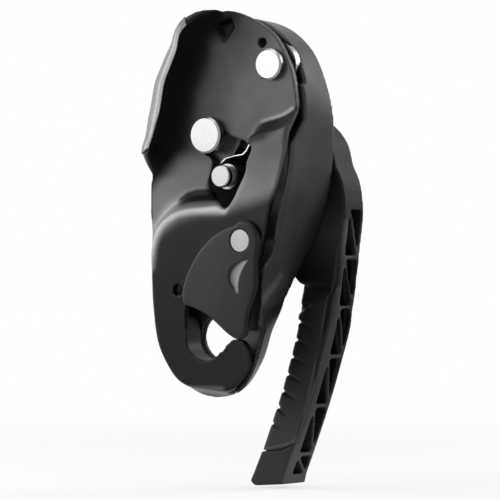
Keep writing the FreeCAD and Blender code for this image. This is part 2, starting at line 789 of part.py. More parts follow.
# Safety gate, drawn about its axis in shares of its length
GATE_EDGE_SHARES = [
    [(-0.068, 0.155), (-0.342, 0.040), (-0.560, -0.176), (-0.684, -0.408), (-0.716, -0.563)],
    [(-0.692, -0.650), (-0.587, -0.672), (-0.335, -0.795), (-0.105, -0.960)],
    [(-0.045, -0.985), (0.063, -0.935)],
    [(0.088, -0.870), (0.130, -0.666), (0.187, -0.508), (0.203, -0.237)],
    [(0.215, -0.080), (0.205, 0.070), (0.110, 0.185), (0.020, 0.205)],
]
SCOOP_SHARES = [
    (0.0605, -0.179), (-0.068, -0.213), (-0.163, -0.274), (-0.200, -0.353), (-0.184, -0.432),
    (-0.089, -0.511), (-0.084, -0.397), (-0.034, -0.292),
]

# The gate's tongue fills the plate's mouth, in shares of the plate's reach and rise
TONGUE_SHARES = [
    (0.291, 0.0422), (0.372, 0.0209), (0.486, 0.0285), (0.529, 0.0893),
    (0.572, 0.1622), (0.572, 0.1957), (0.420, 0.1957), (0.334, 0.1258),
]


def about_gate(shares):
    length = size.gate_length
    return [(GATE_AXIS[0] + length * x, GATE_AXIS[1] + length * z) for x, z in shares]


def safety_gate():
    back = raised_front - size.play
    front = back - size.gate_thickness
    edge = at_y(about_gate(all_rows(GATE_EDGE_SHARES)), back)
    solid = prism(curved_wire(stretches_like(GATE_EDGE_SHARES, edge)), -size.gate_thickness)
    rim = [side for side in solid.Edges if side.BoundBox.YMax < float(front) + float(size.slip)]
    solid = solid.makeChamfer(float(size.gate_bevel), rim)
    scoop = at_y(about_gate(SCOOP_SHARES), front - size.slip)
    cutters = [
        rod(GATE_AXIS, size.gate_shaft + size.slip, front, raised_front),
        rod(GATE_AXIS, size.gate_head + size.play, front - size.slip, front + size.gate_head_height),
        prism(polygon_wire(scoop), size.scoop_depth),
    ]
    return formed("safety_gate", solid.cut(cutters))


def gate_core():
    start = raised_front - size.play + size.slip
    depth = eye_front - size.plate_gap - start
    outline = [(x - GATE_AXIS[0], z - GATE_AXIS[1]) for x, z in body_points(TONGUE_SHARES)]
    return padded("gate_core", GATE_AXIS, start, depth, outline=outline)


# Cam, as shares of its radius at even steps of angle, anticlockwise from +X
CAM_RADIUS_SHARES = [0.60, 0.68, 0.80, 0.93, 1.0, 1.0, 0.95, 0.85, 0.70, 0.57, 0.55, 0.55]
CAM_WAIST_SHARE = 0.82
CAM_RIM_SHARE = 0.18
PIN_DEPTH_SHARE = 0.4


def cam_wire(share, level):
    step = 360.0 / len(CAM_RADIUS_SHARES)
    points = [polar(CAM_AXIS, size.cam_radius * (radius_share * share), step * number)
              for number, radius_share in enumerate(CAM_RADIUS_SHARES)]
    curve = Part.BSplineCurve()
    curve.interpolate(Points=at_y(points, level), PeriodicFlag=True)
    return Part.Wire([curve.toShape()])


def cam():
    depth = cam_back - cam_front
    rim = depth * CAM_RIM_SHARE
    levels = [(1.0, cam_front), (1.0, cam_front + rim), (CAM_WAIST_SHARE, cam_front + depth / 2),
              (1.0, cam_back - rim), (1.0, cam_back)]
    body = loft([cam_wire(share, level) for share, level in levels])
    bore_radius = size.cam_shaft + size.bush_wall + size.slip * 2
    bore = rod(CAM_AXIS, bore_radius, cam_front - size.slip, cam_back + size.slip)
    pin_front = cam_front + depth * PIN_DEPTH_SHARE
    pin_boss = rod(drive_pin_place(), size.drive_pin + size.bush_wall, pin_front - size.bush_wall, cam_back)
    pin_hole = rod(drive_pin_place(), size.drive_pin + size.slip, pin_front, cam_back + size.overrun)
    return formed("cam", body.fuse(pin_boss).cut([bore, pin_hole]))


def drive_pin_place():
    return polar(CAM_AXIS, size.drive_pin_arm, DRIVE_PIN_DEGREES)


# Hand lever, about its axis, in shares of its length. The outer edge runs down the right side,
# the inner edge back up the left.
LEVER_OUTER_SHARES = [
    (0.060, 0.222), (0.160, 0.205), (0.231, 0.166), (0.266, 0.133), (0.294, 0.082), (0.308, 0.030),
    (0.323, 0.002), (0.337, -0.045), (0.343, -0.102), (0.341, -0.153), (0.328, -0.248), (0.323, -0.331),
    (0.307, -0.429), (0.287, -0.511), (0.260, -0.597), (0.223, -0.708), (0.187, -0.803), (0.155, -0.884),
    (0.124, -0.958),
]
LEVER_END_SHARES = [(0.118, -0.986), (0.008, -0.994), (-0.011, -0.980)]
LEVER_INNER_SHARES = [
    (0.039, -0.872), (0.073, -0.786), (0.112, -0.685), (0.147, -0.575), (0.178, -0.465), (0.191, -0.405),
    (0.199, -0.350), (0.180, -0.290), (0.100, -0.238),
]
HUB_LEFT_SHARES = [(0.0, -0.229), (-0.16, -0.165), (-0.229, 0.0), (-0.16, 0.165), (-0.05, 0.225)]
ARM_START_SHARE = 0.475
PAD_BORDER_SHARES = [
    (0.300, -0.345), (0.275, -0.480), (0.258, -0.545), (0.235, -0.680), (0.195, -0.800), (0.168, -0.852),
    (0.112, -0.874), (0.020, -0.884),
]


def about_handle(shares):
    length = size.lever_length
    return [(HANDLE_AXIS[0] + length * x, HANDLE_AXIS[1] + length * z) for x, z in shares]


def lever_outline(level):
    table = [
        LEVER_OUTER_SHARES[:-1], LEVER_OUTER_SHARES[-1:], LEVER_END_SHARES[:1], LEVER_END_SHARES[1:2],
        LEVER_END_SHARES[2:] + LEVER_INNER_SHARES + HUB_LEFT_SHARES,
    ]
    points = at_y(about_handle(all_rows(table)), level)
    return curved_wire(stretches_like(table, points))


def arm_zone(level, depth):
    """The part of the lever that is clear of the rear plate's rim all through the travel."""
    bottom = HANDLE_AXIS[1] - size.lever_length * 1.1
    side = size.plate_reach * 2
    below = block((-side, side), (level, level + depth), (bottom, HANDLE_AXIS[1]))
    round_hub = size.lever_length * ARM_START_SHARE
    return below.cut(rod(HANDLE_AXIS, round_hub, level - size.slip, level + depth + size.slip))


def lever_blank():
    """The lever's full outer form, hub and arm."""
    hub = prism(lever_outline(hub_front), lever_back - hub_front)
    arm = prism(lever_outline(lever_front), hub_front - lever_front + size.slip)
    return hub.fuse(arm.common(arm_zone(lever_front, hub_front - lever_front + size.slip)))


def pad_zone(level, depth, top_share, grow=0.0):
    """The region of the arm that the grip pad covers, seen from the front."""
    border = at_y(about_handle(PAD_BORDER_SHARES), level)
    left = at_y(about_handle([(-0.30, -0.884), (-0.30, top_share)]), level)
    top = at_y(about_handle([(0.300, top_share)]), level)
    return prism(polygon_wire(border + left + top), depth)


def pad_blank():
    """Outer layer of the arm, inside the pad's border."""
    top_share = PAD_BORDER_SHARES[0][1]
    depth = size.lever_depth * 0.8
    zone = pad_zone(lever_front, depth, top_share)
    outer = lever_blank().common(zone)
    shift = point(size.pad_thickness, size.pad_thickness, 0)
    inner = lever_blank()
    inner.translate(shift)
    return outer.cut(inner)


NOTCH_SLOPE_SHARE = 0.45


def grip_notches():
    """Wedge cuts across the pad's left edge, evenly spaced down the arm."""
    cutters = []
    inner = about_handle(LEVER_INNER_SHARES)
    top = inner[6][1]
    bottom = inner[0][1]
    count = int((float(top) - float(bottom)) / float(size.notch_pitch))
    for number in range(1, count):
        level = top - size.notch_pitch * number
        x = edge_x_at(inner, float(level))
        start = point(x - float(size.notch_width), lever_front - size.play, level)
        reach = size.notch_reach + size.notch_width
        tip = start + point(reach, 0, -(reach * NOTCH_SLOPE_SHARE))
        foot = start + point(0, 0, -size.notch_width)
        cutters.append(prism(polygon_wire([start, tip, foot]), size.lever_depth))
    return cutters


def edge_x_at(pairs, level):
    """X on a polyline at a given Z."""
    for lower, upper in zip(pairs, pairs[1:]):
        low_z, high_z = float(lower[1]), float(upper[1])
        if low_z <= level <= high_z:
            share = (level - low_z) / (high_z - low_z)
            return float(lower[0]) + share * (float(upper[0]) - float(lower[0]))
    return float(pairs[-1][0])


def rib_cavities():
    """The open bays of the arm's outer side, a triangle to either side of each diagonal rib."""
    outer = about_handle(LEVER_OUTER_SHARES)[::-1]
    front = float(lever_front + size.rib_front_wall)
    back = float(lever_back - size.rib_back_wall)
    half = float(size.rib_thickness) / 2
    pitch = float(size.rib_pitch)
    lean = math.hypot(back - front, pitch) / pitch * half
    top_rib = float(HANDLE_AXIS[1]) - float(size.lever_length) * 0.10
    bottom = float(HANDLE_AXIS[1]) - float(size.lever_length) * 0.955
    cutters = []
    while top_rib - half > bottom + pitch * 0.3:
        high = top_rib - half
        low = max(top_rib - pitch + half, bottom)
        inside = edge_x_at(outer, (low + high) / 2) - float(size.rib_cavity)
        reach = Vector(float(size.rib_cavity) * 3, 0, 0)
        for triangle in (
            [(front, high - lean), (front, low), (back - lean, low)],
            [(front + lean, high), (back, high), (back, low + lean)],
        ):
            points = [Vector(inside, y, z) for y, z in triangle]
            cutters.append(Part.Face(polygon_wire(points)).extrude(reach))
        top_rib -= pitch
    return cutters


def spiral_slot():
    """The slot that the cam's drive pin follows as the lever turns, in the lever's own frame."""
    half_width = float(size.drive_pin + size.play)
    steps = 12
    line = []
    for number in range(-1, steps + 2):
        swing = LEVER_TRAVEL_DEGREES * number / steps
        pin = turned_about(CAM_AXIS, drive_pin_place(), swing * CAM_RATIO)
        line.append(turned_about(HANDLE_AXIS, pin, -swing))
    path = [Vector(x, float(hub_front) - float(size.slip), z) for x, z in line]
    left = []
    right = []
    for before, here, after in zip(path, path[1:], path[2:]):
        along = (after - before).normalize()
        across = Vector(-along.z, 0, along.x) * half_width
        left.append(here + across)
        right.append(here - across)
    depth = size.drive_plate_thickness + size.slip * 2
    band = prism(curved_wire([left, [left[-1], right[-1]], right[::-1], [right[0], left[0]]]), depth)
    ends = [Part.makeCylinder(half_width, float(depth), end, Vector(0, 1, 0))
            for end in (path[1], path[-2])]
    return band.fuse(ends)


def drive_screw_places():
    reach = size.drive_plate_radius * DRIVE_SCREW_SHARE
    return [polar(HANDLE_AXIS, reach, degrees) for degrees in DRIVE_SCREW_DEGREES]


def nut_seat():
    """The level that the axle's nut and the lever's bush end at."""
    return lever_back - size.nut_height - size.play * 3


def handle_lever():
    blank = lever_blank().cut(pad_blank())
    well_radius = size.drive_plate_radius + size.plate_gap * 2
    cavity_end = hub_cavity_back + size.slip
    well = rod(HANDLE_AXIS, well_radius, hub_front - size.slip, hub_cavity_back)
    boss = rod(HANDLE_AXIS, size.hub_boss_radius, drive_plate_back + size.slip * 2, cavity_end)
    posts = [rod(centre, size.screw_head, drive_plate_back + size.slip, cavity_end)
             for centre in drive_screw_places()]
    nut_recess = rod(HANDLE_AXIS, size.nut_radius + size.play * 2, nut_seat(), lever_back + size.slip)
    cutters = [
        rod(HANDLE_AXIS, size.bushing_radius + size.slip, hub_front, lever_back),
        nut_recess,
    ]
    cutters += [rod(centre, size.screw_radius + size.slip, hub_front, hub_cavity_back - size.slip)
                for centre in drive_screw_places()]
    blank = blank.cut(well).fuse([boss] + posts).cut(cutters)
    return formed("handle_lever", blank.cut(rib_cavities()).removeSplitter())


def handle_grip_pad():
    return formed("handle_grip_pad", pad_blank().cut(grip_notches()))


def handle_drive_plate():
    plate = rod(HANDLE_AXIS, size.drive_plate_radius, hub_front + size.slip, drive_plate_back)
    bore = rod(HANDLE_AXIS, size.bushing_radius + size.slip, hub_front, drive_plate_back)
    cutters = [bore, spiral_slot()]
    cutters += [rod(centre, size.screw_radius + size.slip, hub_front, drive_plate_back)
                for centre in drive_screw_places()]
    return formed("handle_drive_plate", plate.cut(cutters))


# Small hardware, turned or padded


def studs_and_rivets():
    stud_front = raised_back + size.play
    stud_back = stud_front + size.cam_stud_height
    neck_back = cam_front - size.slip * 4
    turned("cam_axle", CAM_AXIS, [
        (ZERO, stud_front), (size.cam_stud_face, stud_front),
        (size.cam_stud_rim, stud_front + size.stud_chamfer),
        (size.cam_stud_rim, stud_back), (size.cam_stud_neck, stud_back), (size.cam_stud_neck, neck_back),
        (size.cam_shaft, neck_back), (size.cam_shaft, floor_back), (ZERO, floor_back)])
    handle_front = stud_front + size.slip * 4
    handle_back = handle_front + size.handle_stud_height
    chamfer = size.stud_chamfer * 0.6
    turned("handle_axle", HANDLE_AXIS, [
        (ZERO, handle_front), (size.handle_stud_rim - chamfer, handle_front),
        (size.handle_stud_rim, handle_front + chamfer), (size.handle_stud_rim, handle_back),
        (size.handle_shaft, handle_back), (size.handle_shaft, lever_back - size.slip * 4),
        (ZERO, lever_back - size.slip * 4)])
    pivot_front = plate_front - size.slip - size.pivot_head_height
    head_back = plate_front - size.slip
    turned("plate_pivot_rivet", PIVOT_AXIS, [
        (ZERO, pivot_front), (size.pivot_head - size.stud_chamfer, pivot_front),
        (size.pivot_head, pivot_front + size.stud_chamfer), (size.pivot_head, head_back),
        (size.pivot_shaft, head_back), (size.pivot_shaft, floor_back), (ZERO, floor_back)])
    gate_back = raised_front - size.play
    gate_seat = gate_back - size.gate_thickness + size.gate_head_height - size.slip
    turned("gate_axle", GATE_AXIS, shaft_profile(
        (size.gate_head, gate_seat - size.gate_head_height * 0.75, gate_seat),
        (size.gate_shaft, gate_seat, raised_back + size.sheet_thickness * 0.5)))


def bushes_and_washers():
    turned("plate_pivot_washer", PIVOT_AXIS, ring_profile(
        size.pivot_shaft + size.slip, size.pivot_head, plate_back + size.slip,
        plate_back + size.washer_thickness))
    spacer_front = plate_back + size.washer_thickness + size.slip
    flange_back = plate_back + size.pivot_flange_height
    inner = size.pivot_shaft + size.slip
    turned("plate_pivot_spacer", PIVOT_AXIS, [
        (inner, spacer_front), (size.pivot_flange, spacer_front), (size.pivot_flange, flange_back),
        (size.pivot_barrel, flange_back), (size.pivot_barrel, floor_front - size.slip),
        (inner, floor_front - size.slip)])
    ring_front = plate_back - size.sheet_thickness * 0.5
    ring_back = ring_front + size.collar_ring_height
    axle_slip = size.handle_shaft + size.slip
    turned("handle_axle_ring", HANDLE_AXIS, ring_profile(
        axle_slip, size.collar_ring_radius, ring_front, ring_back))
    turned("handle_axle_collar", HANDLE_AXIS, ring_profile(
        axle_slip, size.collar_radius, ring_back + size.slip, floor_front - size.slip))
    turned("cam_washer", CAM_AXIS, ring_profile(
        size.cam_shaft + size.slip, size.cam_shaft * 2, cam_back + size.slip * 2, floor_front - size.slip))
    turned("cam_bushing", CAM_AXIS, ring_profile(
        size.cam_shaft + size.slip, size.cam_shaft + size.bush_wall, cam_front + size.slip,
        cam_back - size.slip))
    turned("handle_bushing", HANDLE_AXIS, ring_profile(
        axle_slip, size.bushing_radius, hub_front + size.slip, nut_seat()))
    turned("handle_washer", HANDLE_AXIS, ring_profile(
        axle_slip, size.bushing_radius * 1.2, floor_back + size.slip, hub_front - size.slip))
    cover_back = lever_back + size.cover_height
    turned("handle_hub_cover", HANDLE_AXIS, shaft_profile(
        (size.cover_radius, lever_back + size.slip, cover_back - size.cover_height * 0.4),
        (size.cover_radius * 0.9, cover_back - size.cover_height * 0.4, cover_back)))


def pins_and_screws():
    nut_back = lever_back - size.play
    nut = [polar((ZERO, ZERO), size.nut_radius, degrees) for degrees in range(0, 360, 60)]
    padded("handle_axle_nut", HANDLE_AXIS, nut_back - size.nut_height, size.nut_height, outline=nut,
           holes=[((ZERO, ZERO), size.handle_shaft + size.slip)])
    turned("cam_drive_pin", drive_pin_place(), shaft_profile(
        (size.drive_pin, cam_front + (cam_back - cam_front) * PIN_DEPTH_SHARE + size.slip,
         drive_plate_back + size.slip)))
    turned("cam_stop_pin", cam_stop_place(), shaft_profile(
        (size.stop_pin, cam_front + size.cam_front_gap * 2, floor_back)))
    turned("gate_stop_pin", gate_stop_place(), shaft_profile(
        (size.stop_pin, raised_front - size.play * 0.5, raised_back + size.sheet_thickness * 0.5)))
    group_of_rods("friction_plate_rivets", friction_rivet_places(), [
        (size.friction_rivet * 1.7, floor_front - size.friction_thickness - size.washer_thickness,
         floor_front - size.friction_thickness - size.slip),
        (size.friction_rivet, floor_front - size.friction_thickness - size.slip, floor_back)])
    group_of_rods("drive_plate_screws", drive_screw_places(), [
        (size.screw_radius, hub_front + size.slip * 2, hub_cavity_back - size.plate_gap)])


def friction_plate():
    """A steel wall concentric with the cam's nose, on a tab that is riveted to the floor."""
    inner = size.cam_radius + size.friction_gap
    outer = inner + size.friction_thickness
    tab = outer + size.friction_thickness * 2
    start, end = FRICTION_WALL_DEGREES

    def band(near, far, front, back):
        middle = (start + end) / 2
        spots = {angle: [point(polar(CAM_AXIS, reach, angle)[0], front, polar(CAM_AXIS, reach, angle)[1])
                         for reach in (near, far)] for angle in (start, middle, end)}
        edges = [
            Part.Arc(spots[start][1], spots[middle][1], spots[end][1]).toShape(),
            Part.LineSegment(spots[end][1], spots[end][0]).toShape(),
            Part.Arc(spots[end][0], spots[middle][0], spots[start][0]).toShape(),
            Part.LineSegment(spots[start][0], spots[start][1]).toShape(),
        ]
        return prism(Part.Wire(edges), float(back) - float(front))

    seat = floor_front - size.slip
    wall = band(inner, outer, cam_front, seat)
    foot = band(inner, tab, floor_front - size.friction_thickness, seat)
    holes = [rod(centre, size.friction_rivet + size.slip, cam_front, floor_back)
             for centre in friction_rivet_places()]
    return formed("friction_plate", wall.fuse(foot).cut(holes).removeSplitter())


SPRING_ROUTE_SHARES = [
    (0.01, 0.535), (0.075, 0.550), (0.175, 0.5565), (0.265, 0.5595), (0.305, 0.571), (0.345, 0.590),
]


def springs():
    level = plate_back + size.plate_gap
    route = at_y(body_points(SPRING_ROUTE_SHARES), level)
    formed("cam_return_spring", bent_wire(route, size.spring_wire, size.spring_wire * 5))
    formed("handle_return_spring", coil(
        HANDLE_AXIS, drive_plate_back + size.return_wire * 2, size.return_coil, size.return_wire, 2.0))
    formed("gate_spring", coil(
        GATE_AXIS, raised_back + size.gate_wire * 1.5, size.gate_shaft + size.gate_wire * 2.5,
        size.gate_wire, 2.5))


def check(obj):
    """Stops the build if a piece has failed, is empty or isn't valid."""
    if "Invalid" in obj.State or "Error" in obj.State:
        raise RuntimeError("%s is in state %s" % (obj.Label, obj.State))
    if obj.Shape.isNull() or not obj.Shape.isValid() or not obj.Shape.Solids:
        raise RuntimeError("%s has no valid solid" % obj.Label)


def main():
    fixed_side_plate()
    friction_plate()
    moving_side_plate()
    lip_wear_strip()
    safety_gate()
    gate_core()
    cam()
    handle_lever()
    handle_grip_pad()
    handle_drive_plate()
    studs_and_rivets()
    bushes_and_washers()
    pins_and_screws()
    springs()
    doc.recompute()
    for obj in doc.Objects:
        if "Invalid" in obj.State or "Error" in obj.State:
            raise RuntimeError("%s is in state %s" % (obj.Name, obj.State))
    os.makedirs("parts", exist_ok=True)
    for obj in finished:
        check(obj)
        print("%-24s solids %d  volume %9.1f" % (obj.Label, len(obj.Shape.Solids), obj.Shape.Volume))
        obj.Shape.exportStep("parts/%s.step" % obj.Label)


main()
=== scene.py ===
"""Self-braking rope descender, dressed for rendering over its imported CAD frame.

The origin is the centre of the attachment eye, +Z runs up the body, the front plate faces -Y and
the hand lever hangs on the +X side. Blender works in metres, and so do the finishes, the facets
and the studio. The other sizes of the pieces are in millimetres, and a line is given by its
corners in X and Z.
"""

import logging
import math
from collections.abc import Iterable
from dataclasses import dataclass, field
from enum import Enum

import bpy
import numpy as np
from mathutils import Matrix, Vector
from mathutils.bvhtree import BVHTree


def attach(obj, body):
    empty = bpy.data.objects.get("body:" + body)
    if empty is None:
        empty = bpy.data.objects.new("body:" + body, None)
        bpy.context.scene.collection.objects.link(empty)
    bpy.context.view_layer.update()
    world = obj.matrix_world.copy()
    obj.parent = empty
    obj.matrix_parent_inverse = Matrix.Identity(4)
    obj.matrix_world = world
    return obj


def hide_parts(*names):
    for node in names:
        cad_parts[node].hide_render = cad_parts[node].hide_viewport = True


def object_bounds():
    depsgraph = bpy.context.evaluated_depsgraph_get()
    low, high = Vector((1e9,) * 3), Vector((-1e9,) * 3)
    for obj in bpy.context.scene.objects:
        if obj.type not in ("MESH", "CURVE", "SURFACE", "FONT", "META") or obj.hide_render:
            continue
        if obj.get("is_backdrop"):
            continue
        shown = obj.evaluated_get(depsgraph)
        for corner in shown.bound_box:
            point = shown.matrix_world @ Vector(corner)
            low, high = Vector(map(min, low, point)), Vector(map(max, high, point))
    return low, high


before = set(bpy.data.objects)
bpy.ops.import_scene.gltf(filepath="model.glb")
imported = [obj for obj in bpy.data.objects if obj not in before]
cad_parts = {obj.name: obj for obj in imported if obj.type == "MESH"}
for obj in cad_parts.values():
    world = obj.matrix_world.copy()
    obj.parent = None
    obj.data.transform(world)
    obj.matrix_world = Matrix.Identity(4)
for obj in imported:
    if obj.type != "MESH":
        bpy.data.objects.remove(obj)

log = logging.getLogger("descender")

MM = 0.001
MERGE_DISTANCE = 1e-6
SMOOTHING = 0.5
FAR_AWAY = 1e9
TONE = "tone"
WHITE = (1.0, 1.0, 1.0, 1.0)

# The hinge axes, which run along Y
CAM_AXIS = (-2.4, 77.5)
HANDLE_AXIS = (4.8, 61.625)
PIVOT_AXIS = (26.5, 103.75)
GATE_AXIS = (18.3, 37.0)

Line = tuple[tuple[float, float], ...]
Span = tuple[float, float]
Triple = tuple[float, float, float]
Colour = Triple
Socket = bpy.types.NodeSocket


class Body(Enum):
    """The bodies that the new pieces ride on."""

    REAR = "rear_frame"
    PLATE = "front_plate"
    GATE = "gate"
    LEVER = "lever"


class Mix(Enum):
    """Where the colour mix node takes its colours and gives its result."""

    FIRST = 6
    SECOND = 7
    RESULT = 2


# Shader building


class Nodes:
    """A node tree, built one node at a time. Its methods hand on output sockets."""

    def __init__(self, tree: bpy.types.NodeTree) -> None:
        """Starts with the tree empty.

        Args:
            tree: the node tree of a material or a world.
        """
        self.tree = tree
        self.tree.nodes.clear()

    def add(self, kind: str, **settings: object) -> bpy.types.Node:
        """Adds a node.

        Args:
            kind: the node's type, without its leading "ShaderNode".
            settings: its properties.

        Returns:
            The node.
        """
        node = self.tree.nodes.new("ShaderNode" + kind)
        for name, value in settings.items():
            setattr(node, name, value)
        return node

    def feed(self, target: Socket, source: Socket | float | tuple) -> None:
        """Links an input to the socket that feeds it, or sets it to a constant.

        Args:
            target: the input.
            source: an output socket, a number or a row of numbers.
        """
        if isinstance(source, bpy.types.NodeSocket):
            self.tree.links.new(source, target)
        else:
            target.default_value = source

    def combine(self, operation: str, *sources: Socket | float) -> Socket:
        """Works out a number from others.

        Args:
            operation: the math node's operation.
            sources: what feeds its inputs, in order.

        Returns:
            The result.
        """
        node = self.add("Math", operation=operation)
        for target, source in zip(node.inputs, sources):
            self.feed(target, source)
        return node.outputs["Value"]

    def span(self, source: Socket, low: float, high: float, start: float = 0.3,
             end: float = 0.7) -> Socket:
        """Maps a value from start..end to low..high.

        Args:
            source: the value.
            low: the result at start.
            high: the result at end.
            start: the value that gives low.
            end: the value that gives high.

        Returns:
            The mapped value, which stays between low and high.
        """
        node = self.add("MapRange")
        limits = {"From Min": start, "From Max": end, "To Min": low, "To Max": high}
        for name, limit in limits.items():
            node.inputs[name].default_value = limit
        self.feed(node.inputs["Value"], source)
        return node.outputs["Result"]

    def seen_rays(self) -> Socket:
        """Tells the rays that show a background from those that light the object.

        Returns:
            1 for rays from the camera, off gloss and through glass, and 0 for the rest.
        """
        path = self.add("LightPath").outputs
        seen = self.combine("MAXIMUM", path["Is Camera Ray"], path["Is Glossy Ray"])
        return self.combine("MAXIMUM", seen, path["Is Transmission Ray"])

    def close(self, output: str, share: Socket, first: Socket, second: Socket) -> None:
        """Mixes two shaders and feeds them to the tree's output.

        Args:
            output: the output node's type, without its leading "ShaderNode".
            share: how much of the second shader is seen.
            first: the shader at a share of 0.
            second: the shader at a share of 1.
        """
        mix = self.add("MixShader")
        for target, source in zip(mix.inputs, (share, first, second)):
            self.feed(target, source)
        self.feed(self.add(output).inputs["Surface"], mix.outputs["Shader"])


class Shader(Nodes):
    """A material on a Principled shader, with the patterns that the finishes are made of."""

    def __init__(self, name: str) -> None:
        """Starts the material.

        Args:
            name: the material's name.
        """
        self.material = bpy.data.materials.new(name)
        self.material.use_nodes = True
        super().__init__(self.material.node_tree)
        self.surface = self.add("BsdfPrincipled")
        self.feed(self.add("OutputMaterial").inputs["Surface"], self.surface.outputs["BSDF"])
        self.place = self.add("TexCoord").outputs["Object"]

    def set(self, **values: Socket | float) -> None:
        """Feeds the Principled shader's inputs; an underscore stands for a space."""
        for name, value in values.items():
            self.feed(self.surface.inputs[name.replace("_", " ")], value)

    def noise(self, scale: float, detail: float = 3.0, stretch: Triple = (1.0, 1.0, 1.0)) -> Socket:
        """A noise texture on object coordinates.

        Args:
            scale: features per metre.
            detail: octaves.
            stretch: scale along each axis.

        Returns:
            The noise, from 0 to 1.
        """
        mapping = self.add("Mapping")
        self.feed(mapping.inputs["Scale"], stretch)
        self.feed(mapping.inputs["Vector"], self.place)
        noise = self.add("TexNoise")
        self.feed(noise.inputs["Scale"], scale)
        self.feed(noise.inputs["Detail"], detail)
        self.feed(noise.inputs["Vector"], mapping.outputs["Vector"])
        return noise.outputs["Fac"]

    def blend(self, factor: Socket, first: Socket | Colour, second: Colour) -> Socket:
        """A colour between two.

        Args:
            factor: how far the result has turned to the second.
            first: the colour at a factor of 0.
            second: the colour at a factor of 1.

        Returns:
            The mixed colour.
        """
        node = self.add("Mix", data_type="RGBA")
        self.feed(node.inputs[0], factor)
        for place, colour in ((Mix.FIRST, first), (Mix.SECOND, second)):
            opaque = (*colour, 1.0) if isinstance(colour, tuple) else colour
            self.feed(node.inputs[place.value], opaque)
        return node.outputs[Mix.RESULT.value]

    def bump(self, height: Socket, depth: float, under: Socket | None = None) -> Socket:
        """A bump from a height value.

        Args:
            height: the height, from 0 to 1.
            depth: the height of 1 in metres.
            under: another bump that this one lies on.

        Returns:
            The bumped normal.
        """
        node = self.add("Bump")
        self.feed(node.inputs["Strength"], 1.0)
        self.feed(node.inputs["Distance"], depth)
        self.feed(node.inputs["Height"], height)
        if under is not None:
            self.feed(node.inputs["Normal"], under)
        return node.outputs["Normal"]

    def painted_tone(self, mottle: Socket, cool: Colour = (0.99, 1.0, 1.03),
                     unevenness: Span = (0.9, 1.1)) -> Socket:
        """The grey that the piece's own tone attribute holds, mottled a little.

        Args:
            mottle: the noise that varies it.
            cool: the faint colour of the grey.
            unevenness: its least and greatest share of the grey.

        Returns:
            The colour.
        """
        grey = self.add("Attribute", attribute_name=TONE).outputs["Fac"]
        mottled = self.combine("MULTIPLY", grey, self.span(mottle, *unevenness))
        tint = self.add("VectorMath", operation="SCALE")
        self.feed(tint.inputs[0], cool)
        self.feed(tint.inputs["Scale"], mottled)
        return tint.outputs["Vector"]

    def rings(self, centre: Span, pitch: float) -> Socket:
        """Turning marks: a wave of the distance from an axis along Y.

        Args:
            centre: the axis in X and Z, in millimetres.
            pitch: the spacing of the marks, in metres.

        Returns:
            A value that runs from -1 to 1.
        """
        mapping = self.add("Mapping")
        self.feed(mapping.inputs["Location"], (-centre[0] * MM, 0.0, -centre[1] * MM))
        self.feed(mapping.inputs["Vector"], self.place)
        flat = self.add("VectorMath", operation="MULTIPLY")
        self.feed(flat.inputs[0], mapping.outputs["Vector"])
        self.feed(flat.inputs[1], (1.0, 0.0, 1.0))
        length = self.add("VectorMath", operation="LENGTH")
        self.feed(length.inputs[0], flat.outputs["Vector"])
        turns = self.combine("MULTIPLY", length.outputs["Value"], math.tau / pitch)
        return self.combine("SINE", turns)

    def worn_edges(self, low: float, high: float) -> Socket:
        """How far a point lies on a sharp outer edge, from 0 to 1."""
        pointiness = self.add("NewGeometry").outputs["Pointiness"]
        return self.span(pointiness, 0.0, 1.0, low, high)


@dataclass(frozen=True)
class Anodising:
    """Black anodised aluminium over a fine blasted surface.

    Where it is painted, its tone comes from the piece's own tone attribute, which holds painted
    light and shade: painted shade, nearly black, in the rope channel, satin black on the pressed
    body and paler where highlights are painted.
    """

    name: str
    colour: Colour = (0.020, 0.020, 0.021)
    pale: Colour = (0.030, 0.030, 0.032)
    painted: bool = False
    clouds: float = 90.0
    edges: Span = (0.53, 0.61)
    rub: float = 700.0
    rub_shares: Span = (0.15, 0.75)
    spared: Span = (0.003, 0.014)
    worn: float = 0.16
    metal: float = 0.60
    specular: float = 0.10
    gloss: float = 160.0
    rough: Span = (0.33, 0.41)
    grain: float = 4200.0
    grain_depth: float = 0.000010

    def build(self) -> bpy.types.Material:
        """Makes the material, with mottled tone, grain and paler edges.

        Returns:
            The material.
        """
        shader = Shader(self.name)
        clouds = shader.noise(self.clouds, 4.0)
        patches = shader.span(shader.noise(self.rub, 5.0), *self.rub_shares)
        worn = shader.combine("MULTIPLY", shader.worn_edges(*self.edges), patches)
        if self.painted:
            coat = shader.painted_tone(clouds)
            # No edge wear where the painted shade is nearly black
            worn = shader.combine("MULTIPLY", worn, shader.span(coat, 0.0, 1.0, *self.spared))
        else:
            coat = shader.blend(clouds, self.colour, self.pale)
        shader.set(
            Base_Color=shader.blend(worn, coat, (self.worn,) * 3),
            Roughness=shader.span(shader.noise(self.gloss, 4.0), *self.rough),
            Normal=shader.bump(shader.noise(self.grain, 2.0), self.grain_depth),
            Metallic=self.metal, Specular_IOR_Level=self.specular,
        )
        return shader.material


